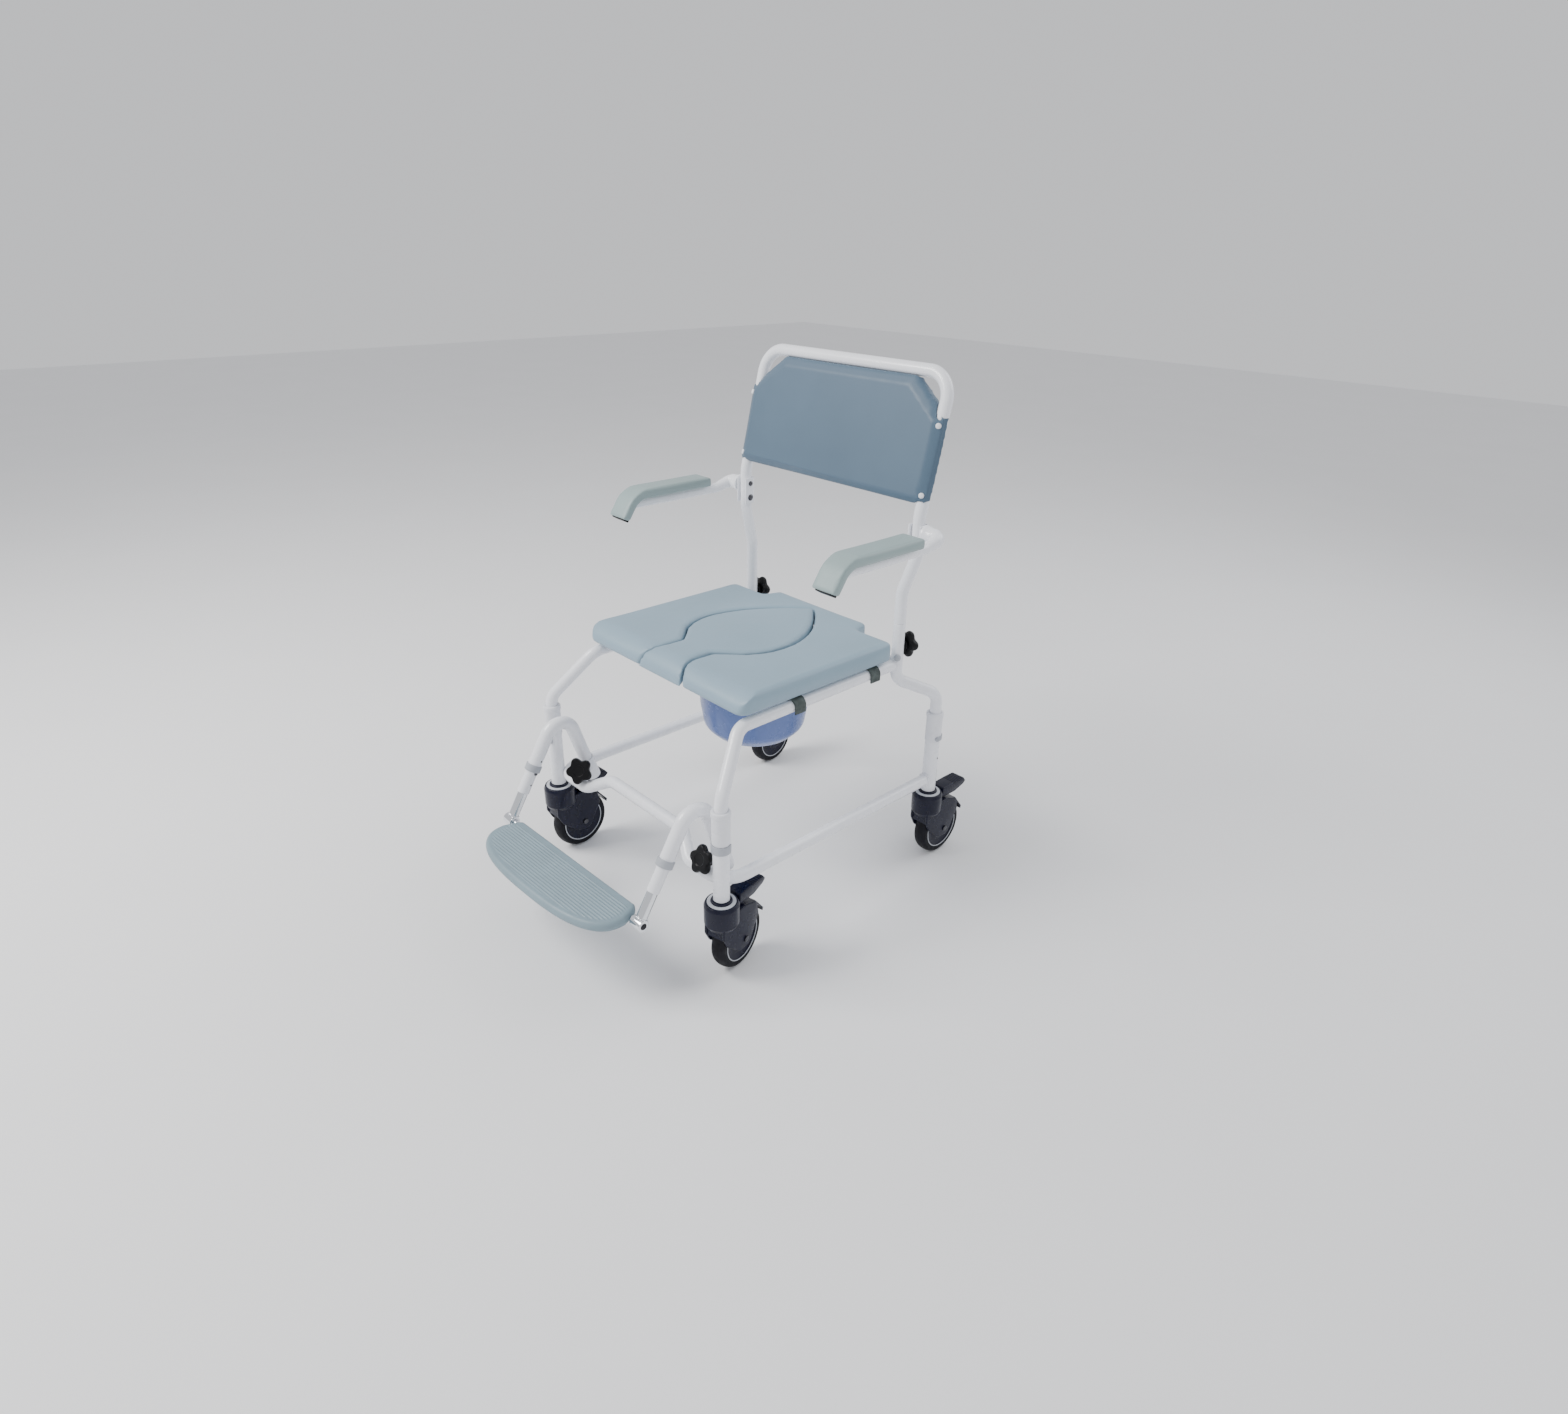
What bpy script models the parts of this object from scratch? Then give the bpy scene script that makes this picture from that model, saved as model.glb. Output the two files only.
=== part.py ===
"""Mobile commode and shower chair: a tubular frame on four braked castors.

Metres, +Z up.  The sitter faces -Y, and "left" is the sitter's left, +X.  Everything is laid out
from the front legs' axis line (local y = 0) and hung on the empty "chair", which stands the object
over its own bounding box centre.
"""

import math

import bmesh
import bpy
from mathutils import Matrix, Vector

# Whole object
CHAIR_Y = -0.2048        # front legs' line, measured from the centre of the bounding box
GAP = 0.0003             # clearance between pieces that touch or that are cut by each other
WELD = 0.00002           # distance under which coincident points are one point

# Legs and base
LEG_X = 0.248            # half the distance between left and right legs
REAR_Y = 0.527           # rear legs behind the front legs
LEG_BOTTOM = 0.157
LEG_TOP = 0.311
LEG_R = 0.014
LEG_BORE_R = 0.0125
TUBE_R = 0.011           # telescoping seat frame and back frame
INNER_END_Z = 0.182      # lower ends of the telescoping tubes, inside the legs
BUSH_R = 0.0153
BUSH_RING_R = 0.0163
BUSH_BOTTOM = 0.2655
BUSH_SHOULDER = 0.315
BUSH_TOP = 0.325
LOCK_TURN = 20.0         # rear locks, turned outwards from straight back
BASE_R = 0.01125
BASE_Z = 0.182
CROSS_Y = 0.006          # base tube's run just behind the front legs
CROSS_BEND_R = 0.052
BAR_X = 0.107            # half length of the raised straight bar
BAR_Y = 0.032
BAR_Z = 0.208
BAR_FOOT_X = 0.156

# Castors
CASTOR_YAW = {"front_left": 14.0, "front_right": 3.0, "rear_left": 1.0, "rear_right": 5.0}
WHEEL_R = 0.057
WHEEL_HALF_WIDTH = 0.0145
WHEEL_TRAIL = 0.040
WHEEL_BORE_R = 0.0055
AXLE_R = 0.005
CAP_R = 0.0295
CAP_BOTTOM = 0.094
CAP_TOP = 0.1515
FORK_HALF_WIDTH = 0.021
WHEEL_ROOM = 0.0035
PEDAL_HALF_WIDTH = 0.015
PEDAL_HINGE_Y = 0.037
PEDAL_HINGE_Z = 0.138

# Seat frame
RAIL_X_FRONT = 0.204
RAIL_Z = 0.428
RAIL_FRONT_Y = 0.075
POST_X = 0.200
POST_Y = 0.460
UPRIGHT_BEND_Z = 0.341
REAR_BEND_Z = 0.363
REAR_SHELF_Z = 0.3965
SOCKET_TOP = 0.507
SPIGOT_R = 0.0092
SPIGOT_DEPTH = 0.060
CROSS_TUBE_R = 0.009

# Back frame and pad
KINK_LOW_Z = 0.565
KINK_HIGH_Z = 0.634
ARM_POST_X = 0.223
ARM_POST_Y = 0.463
LEAN_Z = 0.707
BACK_TOP_Z = 0.932
BACK_TOP_Y = 0.518
BACK_CORNER_R = 0.045
BACK_LEAN = (BACK_TOP_Y - ARM_POST_Y) / (BACK_TOP_Z - LEAN_Z)
PAD_LOW_Z = 0.7235
PAD_HIGH_Z = 0.9265
PAD_CHAMFER_Z = 0.868
PAD_HALF_WIDTH = 0.236
PAD_TOP_HALF_WIDTH = 0.158
PAD_AHEAD = 0.0185       # front face of the back pad ahead of the posts' centre line
PAD_THICKNESS = 0.024
PAD_BORDER = 0.018
PAD_BEVEL_DEPTH = 0.009

# Arms
ARM_X = 0.2705
ARM_Z = 0.667
ARM_PIVOT_Z = 0.677
ARM_TUBE_R = 0.0095
ARM_FRONT_Y = 0.222
ARM_BORE_R = 0.0053
ARM_PIN_R = 0.005
ARM_PAD_HALF_WIDTH = 0.0255
ARM_PAD_TOP = 0.6965
ARM_PAD_THICKNESS = 0.0195
ARM_PAD_REAR_Y = 0.395
BRACKET_WALL = 0.0022
BRACKET_LOW_Z = 0.642
BRACKET_HIGH_Z = 0.692

# Seat
SEAT_Z = 0.4445
SEAT_TOP = 0.4825
SEAT_EDGE = 0.005
SEAT_FRONT_Y = 0.068
SEAT_REAR_Y = 0.430
SEAT_TONGUE_Y = 0.467
SEAT_HALF_WIDTH = 0.219
TONGUE_HALF_WIDTH = 0.130
INFILL_GAP = 0.0015
HOLE_R = 0.103
HOLE_Y = 0.262
HOLE_FRONT_REACH = 0.106
HOLE_REAR_REACH = 0.181
SLOT_HALF_WIDTH = 0.0405
SLOT_FLARE_Y = 0.118
CLIP_FRONT_Y = 0.200
CLIP_REAR_Y = 0.387
CLIP_LEG = 0.011
PAN_Y = 0.290
PAN_R = 0.106
PAN_RIM_R = 0.118
PAN_RIM_Z = 0.407
PAN_BOTTOM = 0.272
PAN_FOOT_R = 0.070
PAN_SHOULDER = (0.090, 0.284)
PAN_WAIST = (0.102, 0.330)
PAN_WALL = 0.0022
GUIDE_X = 0.1085

# Footrest
HANGER_X = 0.201
HANGER_R = 0.0125
HANGER_LOW_R = 0.011
COLLAR_R = 0.0148
FOOT_Y = 0.0456
FOOT_Z = 0.185
CROWN_Y = -0.0065
CROWN_Z = 0.351
CROWN_R = 0.038
HANGER_END_Z = 0.194
COLLAR_FROM_END = 0.046
COLLAR_LENGTH = 0.011
SOCKET_LENGTH = 0.046
SOCKET_WALL = 0.0027
DROP_R = 0.0095
DROP_BORE_R = 0.0098
DROP_INSERT = 0.080
PIVOT_Y = -0.130
PIVOT_Z = 0.147
PIVOT_SLEEVE_R = 0.0105
ROD_R = 0.005
ROD_Z = 0.131
PLATE_TOP = 0.157
PLATE_BOTTOM = 0.1385
PLATE_REAR_Y = -0.1155
PLATE_MIDDLE_Y = -0.150  # widest line, from which the front edge sweeps round as half an oval
PLATE_DEPTH = 0.0735
PLATE_SQUARENESS = 2.7   # exponent of that oval, 2 for an ellipse
PLATE_HALF_WIDTH = 0.1855
PLATE_EDGE = 0.004
PLATE_REAR_HALF_WIDTH = 0.173
PLATE_SHIFT_X = -0.001
PLATE_SKEW = 1.8         # degrees, as it sits on its rod

# Star knobs
KNOB_R = 0.026
KNOB_LOBES = 5
KNOB_THICKNESS = 0.013
KNOB_EDGE = 0.0035
KNOB_HUB_R = 0.0105
KNOB_SCREW_R = 0.004
SCREW_HOLE_R = 0.0043
REAR_KNOB_Z = 0.461
FRONT_KNOBS = {1: (0.2015, -0.0025, 0.2095), -1: (-0.166, -0.0005, 0.2165)}  # middle of each grip
FRONT_KNOB_AIM = (0.201, 0.0425, 0.190)  # where the screw meets the hanger's axis
NUT_BOSS_R = 0.0075
NUT_BOSS_END = 0.029     # from the hanger's axis

SIDES = {1: "left", -1: "right"}
ENDS = {0.0: "front", REAR_Y: "rear"}

FINISHES = {
    "white_coat": ((0.86, 0.87, 0.90), 0.28, 0.0),
    "white_plastic": ((0.84, 0.85, 0.88), 0.40, 0.0),
    "grey_plastic": ((0.45, 0.47, 0.50), 0.45, 0.0),
    "black_plastic": ((0.012, 0.012, 0.016), 0.40, 0.0),
    "castor_plastic": ((0.015, 0.017, 0.045), 0.38, 0.0),
    "tyre_rubber": ((0.020, 0.020, 0.028), 0.60, 0.0),
    "seat_foam": ((0.36, 0.44, 0.47), 0.50, 0.0),
    "arm_foam": ((0.34, 0.40, 0.39), 0.55, 0.0),
    "back_foam": ((0.19, 0.26, 0.31), 0.50, 0.0),
    "plate_plastic": ((0.33, 0.40, 0.41), 0.55, 0.0),
    "clip_rubber": ((0.13, 0.16, 0.15), 0.60, 0.0),
    "pan_plastic": ((0.20, 0.25, 0.43), 0.35, 0.0),
    "chrome": ((0.80, 0.82, 0.85), 0.12, 1.0),
}


# Tools ---------------------------------------------------------------------------------------

def clear_scene():
    for item in list(bpy.data.objects):
        bpy.data.objects.remove(item, do_unlink=True)


def finish_material(name):
    found = bpy.data.materials.get(name)
    if found:
        return found
    colour, roughness, metallic = FINISHES[name]
    made = bpy.data.materials.new(name)
    made.use_nodes = True
    shader = made.node_tree.nodes["Principled BSDF"]
    shader.inputs["Base Color"].default_value = (*colour, 1.0)
    shader.inputs["Roughness"].default_value = roughness
    shader.inputs["Metallic"].default_value = metallic
    made.diffuse_color = (*colour, 1.0)
    return made


def empty(name, location=(0, 0, 0), yaw=0.0, parent=None):
    made = bpy.data.objects.new(name, None)
    made.location = location
    made.rotation_euler = (0, 0, math.radians(yaw))
    made.parent = parent
    bpy.context.collection.objects.link(made)
    return made


def place(name, mesh, finish, parent, location=(0, 0, 0), smooth=True):
    """Put a mesh into the scene as the named piece."""
    made = bpy.data.objects.new(name, mesh)
    made.location = location
    made.parent = parent
    if not mesh.materials:
        mesh.materials.append(finish_material(finish))
        if smooth:
            mesh.shade_smooth()
            mesh.set_sharp_from_angle(angle=math.radians(35))
    bpy.context.collection.objects.link(made)
    return made


def mesh_from(bm, move=None):
    """Close a bmesh into a mesh datablock, with its faces turned outwards."""
    if move is not None:
        bmesh.ops.transform(bm, matrix=move, verts=bm.verts)
    bmesh.ops.remove_doubles(bm, verts=bm.verts, dist=WELD)
    bmesh.ops.recalc_face_normals(bm, faces=bm.faces)
    mesh = bpy.data.meshes.new("shape")
    bm.to_mesh(mesh)
    bm.free()
    return mesh


def moved(mesh, move):
    copy = mesh.copy()
    copy.transform(move)
    return copy


def combined(mesh, *steps):
    """The mesh after each (operation, tool mesh) step, with the exact Boolean solver."""
    body = bpy.data.objects.new("work", mesh)
    bpy.context.collection.objects.link(body)
    tools = []
    for operation, tool in steps:
        other = bpy.data.objects.new("work_tool", tool)
        other.hide_render = True
        other.display_type = "WIRE"
        bpy.context.collection.objects.link(other)
        tools.append(other)
        change = body.modifiers.new(operation.lower(), "BOOLEAN")
        change.operation = operation
        change.solver = "EXACT"
        change.object = other
    bpy.context.view_layer.update()
    seen = body.evaluated_get(bpy.context.evaluated_depsgraph_get())
    result = bpy.data.meshes.new_from_object(seen)
    for item in [body, *tools]:
        bpy.data.objects.remove(item, do_unlink=True)
    bm = bmesh.new()
    bm.from_mesh(result)
    bmesh.ops.dissolve_limit(bm, angle_limit=math.radians(0.2), verts=bm.verts, edges=bm.edges)
    result.materials.clear()
    return mesh_from(bm)


def round_corners(corners, radii, step=18.0):
    """Points along straight runs whose inner corners are arcs of the given radii."""
    corners = [Vector(c) for c in corners]
    points = [corners[0]]
    for before, corner, after, radius in zip(corners, corners[1:], corners[2:], radii):
        inward = (before - corner).normalized()
        outward = (after - corner).normalized()
        half = inward.angle(outward) / 2
        reach = radius / math.tan(half)
        middle = corner + (inward + outward).normalized() * (radius / math.sin(half))
        start = corner + inward * reach - middle
        end = corner + outward * reach - middle
        turn = start.angle(end)
        steps = max(2, math.ceil(math.degrees(turn) / step))
        normal = start.cross(end).normalized()
        for i in range(steps + 1):
            points.append(middle + Matrix.Rotation(turn * i / steps, 3, normal) @ start)
    points.append(corners[-1])
    return points


def tube_mesh(points, radius, scales=None):
    """A solid tube along the points, widened at each of them by its scale."""
    curve = bpy.data.curves.new("path", "CURVE")
    curve.dimensions = "3D"
    curve.bevel_depth = radius
    curve.bevel_resolution = 4
    curve.use_fill_caps = True
    spline = curve.splines.new("POLY")
    spline.points.add(len(points) - 1)
    for point, target in zip(points, spline.points):
        target.co = (*point, 1.0)
    for target, scale in zip(spline.points, scales or []):
        target.radius = scale
    carrier = bpy.data.objects.new("path", curve)
    bpy.context.collection.objects.link(carrier)
    bpy.context.view_layer.update()
    seen = carrier.evaluated_get(bpy.context.evaluated_depsgraph_get())
    mesh = bpy.data.meshes.new_from_object(seen)
    bpy.data.objects.remove(carrier, do_unlink=True)
    bm = bmesh.new()
    bm.from_mesh(mesh)
    return mesh_from(bm)


def rod_mesh(start, end, radius, sides=16):
    """A straight round bar between two points."""
    start = Vector(start)
    end = Vector(end)
    bm = bmesh.new()
    bmesh.ops.create_cone(
        bm, cap_ends=True, segments=sides, radius1=radius, radius2=radius, depth=(end - start).length
    )
    turn = Vector((0, 0, 1)).rotation_difference(end - start).to_matrix().to_4x4()
    return mesh_from(bm, Matrix.Translation((start + end) / 2) @ turn)


def turned_mesh(profile, sides=20, closed=False, move=None):
    """Spin (radius, height) points once round Z.  An open profile starts and ends on the axis."""
    bm = bmesh.new()
    verts = [bm.verts.new((radius, 0, height)) for radius, height in profile]
    pairs = list(zip(verts, verts[1:]))
    if closed:
        pairs.append((verts[-1], verts[0]))
    edges = [bm.edges.new(pair) for pair in pairs]
    bmesh.ops.spin(
        bm, geom=verts + edges, axis=(0, 0, 1), cent=(0, 0, 0), angle=math.tau, steps=sides, use_merge=True
    )
    return mesh_from(bm, move)


def plate_mesh(outline, low, high, move=None, bevel=0.0, segments=1):
    """Extrude a closed (x, y) outline from z = low to z = high, with its rims eased by a bevel."""
    bm = bmesh.new()
    face = bm.faces.new([bm.verts.new((x, y, low)) for x, y in outline])
    raised = bmesh.ops.extrude_face_region(bm, geom=[face])
    lifted = [item for item in raised["geom"] if isinstance(item, bmesh.types.BMVert)]
    bmesh.ops.translate(bm, vec=(0, 0, high - low), verts=lifted)
    bmesh.ops.recalc_face_normals(bm, faces=bm.faces)
    if bevel:
        rims = [e for e in bm.edges if abs(e.verts[0].co.z - e.verts[1].co.z) < WELD]
        bmesh.ops.bevel(
            bm, geom=rims, offset=bevel, segments=segments, profile=0.5, affect="EDGES", clamp_overlap=True
        )
    return mesh_from(bm, move)


def rounded_outline(corners, radii, step=18.0):
    """A closed outline through the corners, each with its own rounding radius."""
    count = len(corners)
    points = []
    for i in range(count):
        trio = [(*corners[(i + k) % count], 0.0) for k in (-1, 0, 1)]
        if radii[i]:
            points += [(p.x, p.y) for p in round_corners(trio, [radii[i]], step)[1:-1]]
        else:
            points.append(corners[i])
    return points


# Turns an outline drawn in (y, z) and extruded along z into one extruded along x.
SIDEWAYS = Matrix(((0, 0, 1, 0), (1, 0, 0, 0), (0, 1, 0, 0), (0, 0, 0, 1)))


# Base ----------------------------------------------------------------------------------------

def build_base_tube(chair):
    """One tube: side rail, bend behind the front leg, swan neck up to the raised bar, and back."""
    half = [
        (LEG_X, REAR_Y - LEG_R - GAP, BASE_Z),
        (LEG_X, CROSS_Y, BASE_Z),
        (BAR_FOOT_X, CROSS_Y, BASE_Z),
        (BAR_X, BAR_Y, BAR_Z),
    ]
    other = [(-x, y, z) for x, y, z in reversed(half)]
    radii = [CROSS_BEND_R, 0.030, 0.030, 0.030, 0.030, CROSS_BEND_R]
    place("base_tube", tube_mesh(round_corners(half + other, radii), BASE_R), "white_coat", chair)


def build_legs(chair):
    leg = turned_mesh(
        [(LEG_R, LEG_BOTTOM), (LEG_R, LEG_TOP), (LEG_BORE_R, LEG_TOP), (LEG_BORE_R, LEG_BOTTOM)],
        closed=True,
    )
    bush = turned_mesh(
        [
            (LEG_R + GAP, BUSH_BOTTOM),
            (BUSH_R, BUSH_BOTTOM),
            (BUSH_R, BUSH_SHOULDER),
            (BUSH_RING_R, BUSH_SHOULDER + 0.001),
            (BUSH_RING_R, BUSH_TOP - 0.001),
            (BUSH_R, BUSH_TOP),
            (TUBE_R + 2 * GAP, BUSH_TOP),
            (TUBE_R + GAP, LEG_TOP + GAP),
            (LEG_R + GAP, LEG_TOP + GAP),
        ],
        closed=True,
    )
    for y, end in ENDS.items():
        for side, hand in SIDES.items():
            place(f"leg_{end}_{hand}", leg, "white_coat", chair, (side * LEG_X, y, 0))
            place(f"leg_bush_{end}_{hand}", bush, "white_plastic", chair, (side * LEG_X, y, 0))


def half_ring_mesh(inner, outer, low, high, middle_deg, reach_deg=88.0, count=10):
    """A half ring round the origin, centred on a compass angle in the XY plane."""
    angles = [math.radians(middle_deg + reach_deg * (2 * i / count - 1)) for i in range(count + 1)]
    outline = [(outer * math.cos(a), outer * math.sin(a)) for a in angles]
    outline += [(inner * math.cos(a), inner * math.sin(a)) for a in reversed(angles)]
    return plate_mesh(outline, low, high)


def build_height_locks(chair):
    """Snap-on locks of the telescoping legs: a collar in front, a strap with two buttons behind."""
    for side, hand in SIDES.items():
        middle = -45.0 if side > 0 else -135.0
        collar = half_ring_mesh(LEG_R + GAP, 0.0165, 0.2495, 0.2645, middle)
        place(f"height_lock_front_{hand}", collar, "grey_plastic", chair, (side * LEG_X, 0, 0))
        strap = half_ring_mesh(0.0157, 0.0173, 0.2690, 0.2780, 90.0)
        for end in (1, -1):
            button = rod_mesh((end * 0.0158, 0.001, 0.2735), (end * 0.0196, 0.001, 0.2735), 0.0048, 12)
            strap = combined(strap, ("UNION", button))
        lock = place(f"height_lock_rear_{hand}", strap, "grey_plastic", chair, (side * LEG_X, REAR_Y, 0))
        lock.rotation_euler = (0, 0, math.radians(-side * LOCK_TURN))


def foot_direction():
    """Up along the hanger's rear leg."""
    return (Vector((0, CROWN_Y, CROWN_Z)) - Vector((0, FOOT_Y, FOOT_Z))).normalized()


def build_hanger_sockets(chair):
    """Short open tubes in the base tube's front bends, which hold the footrest hangers' feet."""
    up = foot_direction()
    low = Vector((HANGER_X, FOOT_Y, FOOT_Z)) - up * 0.012
    for side, hand in SIDES.items():
        mirror = Vector((side, 1, 1))
        aim = Vector(FRONT_KNOB_AIM) * mirror
        axis = (Vector(FRONT_KNOBS[side]) - aim).normalized()
        start = (low + up * 0.001) * mirror
        end = (low + up * SOCKET_LENGTH) * mirror
        body = rod_mesh(start, end, HANGER_R + SOCKET_WALL)
        bore = rod_mesh(start + up * 0.010, end + up * 0.01, HANGER_R + GAP)
        boss = rod_mesh(aim + axis * (HANGER_R + 0.001), aim + axis * NUT_BOSS_END, NUT_BOSS_R, 12)
        lug = plate_mesh(
            [(-0.013, 0.0), (-0.003, 0.0), (-0.003, 0.018), (-0.013, 0.018)],
            BASE_Z - 0.008, BASE_Z + 0.006,
            Matrix.Translation((side * HANGER_X, CROSS_Y + BASE_R + 0.0004, 0)) @ Matrix.Scale(side, 4, (1, 0, 0)),
        )
        screw_hole = rod_mesh(aim, aim + axis * 0.04, SCREW_HOLE_R, 12)
        socket = combined(
            body, ("UNION", lug), ("UNION", boss), ("DIFFERENCE", bore), ("DIFFERENCE", screw_hole)
        )
        place(f"hanger_socket_{hand}", socket, "white_coat", chair)


# Castors -------------------------------------------------------------------------------------

def castor_housing_mesh():
    cap = turned_mesh(
        [
            (0, CAP_BOTTOM),
            (CAP_R - 0.004, CAP_BOTTOM),
            (CAP_R, CAP_BOTTOM + 0.004),
            (CAP_R, CAP_TOP - 0.004),
            (CAP_R - 0.0025, CAP_TOP),
            (0.019, CAP_TOP),
            (0.0175, LEG_BOTTOM - 0.0005),
            (LEG_BORE_R - 0.0006, LEG_BOTTOM - 0.0005),
            (LEG_BORE_R - 0.0006, INNER_END_Z - 0.006),
            (0, INNER_END_Z - 0.006),
        ],
        sides=20,
    )
    fork_side = rounded_outline(
        [
            (-0.019, 0.1255), (-0.019, 0.090), (0.022, 0.040), (0.052, 0.040),
            (0.080, 0.086), (0.073, 0.1155), (0.041, 0.1255),
        ],
        [0, 0.010, 0.014, 0.014, 0.012, 0.006, 0.006],
        30.0,
    )
    fork = plate_mesh(fork_side, -FORK_HALF_WIDTH, FORK_HALF_WIDTH, SIDEWAYS)
    half = WHEEL_HALF_WIDTH + 0.0013
    slot = rod_mesh(
        (-half, WHEEL_TRAIL, WHEEL_R), (half, WHEEL_TRAIL, WHEEL_R), WHEEL_R + WHEEL_ROOM, 24
    )
    reach = FORK_HALF_WIDTH - 0.001
    axle = rod_mesh((-reach, WHEEL_TRAIL, WHEEL_R), (reach, WHEEL_TRAIL, WHEEL_R), AXLE_R, 12)
    return combined(cap, ("UNION", fork), ("DIFFERENCE", slot), ("UNION", axle))


def castor_wheel_mesh():
    """The wheel turned about X: hub face, raised rim ring, shoulder and crowned tread."""
    side = [
        (WHEEL_BORE_R, 0.0115),
        (0.0405, 0.0115),
        (0.0435, WHEEL_HALF_WIDTH),
        (0.0520, 0.0120),
        (WHEEL_R, 0.0040),
    ]
    profile = side + [(radius, -width) for radius, width in reversed(side)]
    about_x = Matrix.Rotation(math.radians(90), 4, "Y")
    return turned_mesh(profile, sides=20, closed=True, move=about_x)


def castor_pedal_mesh():
    side = rounded_outline(
        [(-0.0055, -0.0095), (-0.0055, 0.0115), (0.060, 0.0105), (0.071, 0.001), (0.062, -0.0045), (0.035, -0.011)],
        [0.003, 0.003, 0.006, 0.003, 0.006, 0.01],
        45.0,
    )
    return plate_mesh(side, -PEDAL_HALF_WIDTH, PEDAL_HALF_WIDTH, SIDEWAYS)


def build_castors(chair):
    housing = castor_housing_mesh()
    wheel = castor_wheel_mesh()
    pedal = castor_pedal_mesh()
    for y, end in ENDS.items():
        for side, hand in SIDES.items():
            corner = f"{end}_{hand}"
            swivel = empty(f"castor_axis_{corner}", (side * LEG_X, y, 0), CASTOR_YAW[corner], chair)
            place(f"castor_housing_{corner}", housing, "castor_plastic", swivel)
            place(f"castor_wheel_{corner}", wheel, "tyre_rubber", swivel, (0, WHEEL_TRAIL, WHEEL_R))
            place(f"brake_pedal_{corner}", pedal, "castor_plastic", swivel, (0, PEDAL_HINGE_Y, PEDAL_HINGE_Z))


# Seat frame ----------------------------------------------------------------------------------

def build_side_tubes(chair):
    """From inside each front leg up and back to the seat rail, ending at the rear upright."""
    for side, hand in SIDES.items():
        corners = [
            (side * LEG_X, 0, INNER_END_Z),
            (side * LEG_X, 0, UPRIGHT_BEND_Z),
            (side * RAIL_X_FRONT, RAIL_FRONT_Y, RAIL_Z),
            (side * POST_X, POST_Y - TUBE_R - GAP, RAIL_Z),
        ]
        path = round_corners(corners, [0.041, 0.036])
        place(f"seat_side_tube_{hand}", tube_mesh(path, TUBE_R), "white_coat", chair)


def build_rear_uprights(chair):
    """From inside each rear leg, over an offset shelf, up to the socket for the back frame."""
    for side, hand in SIDES.items():
        corners = [
            (side * LEG_X, REAR_Y, INNER_END_Z),
            (side * LEG_X, REAR_Y, REAR_BEND_Z),
            (side * POST_X, POST_Y, REAR_SHELF_Z),
            (side * POST_X, POST_Y, SOCKET_TOP),
        ]
        tube = tube_mesh(round_corners(corners, [0.028, 0.026]), TUBE_R)
        bore = rod_mesh(
            (side * POST_X, POST_Y, SOCKET_TOP - SPIGOT_DEPTH - 0.004),
            (side * POST_X, POST_Y, SOCKET_TOP + 0.01),
            SPIGOT_R + GAP,
        )
        screw_hole = rod_mesh(
            (side * POST_X, POST_Y, REAR_KNOB_Z), (side * POST_X, POST_Y + 0.03, REAR_KNOB_Z), SCREW_HOLE_R, 12
        )
        upright = combined(tube, ("DIFFERENCE", bore), ("DIFFERENCE", screw_hole))
        place(f"rear_upright_{hand}", upright, "white_coat", chair)


def build_cross_tube(chair):
    reach = POST_X - TUBE_R - GAP
    tube = rod_mesh((-reach, POST_Y, RAIL_Z), (reach, POST_Y, RAIL_Z), CROSS_TUBE_R, 12)
    place("seat_cross_tube", tube, "white_coat", chair)


# Back ----------------------------------------------------------------------------------------

def back_frame_path(low):
    half = [
        (POST_X, POST_Y, low),
        (POST_X, POST_Y, KINK_LOW_Z),
        (ARM_POST_X, ARM_POST_Y, KINK_HIGH_Z),
        (ARM_POST_X, ARM_POST_Y, LEAN_Z),
        (ARM_POST_X, BACK_TOP_Y, BACK_TOP_Z),
    ]
    other = [(-x, y, z) for x, y, z in reversed(half)]
    radii = [0.040, 0.030, 0.060, BACK_CORNER_R, BACK_CORNER_R, 0.060, 0.030, 0.040]
    return round_corners(half + other, radii)


def build_back_frame(chair):
    """An inverted U that plugs into the rear uprights on two narrower spigots."""
    frame = tube_mesh(back_frame_path(SOCKET_TOP + GAP), TUBE_R)
    spigots = [
        rod_mesh(
            (side * POST_X, POST_Y, SOCKET_TOP - SPIGOT_DEPTH),
            (side * POST_X, POST_Y, SOCKET_TOP + 0.012),
            SPIGOT_R,
        )
        for side in SIDES
    ]
    frame = combined(frame, *[("UNION", spigot) for spigot in spigots])
    place("back_frame", frame, "white_coat", chair)


def back_plane(z, ahead):
    """The y of a plane parallel to the leaning posts, a given distance ahead of their axes."""
    return ARM_POST_Y + (z - LEAN_Z) * BACK_LEAN - ahead


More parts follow.
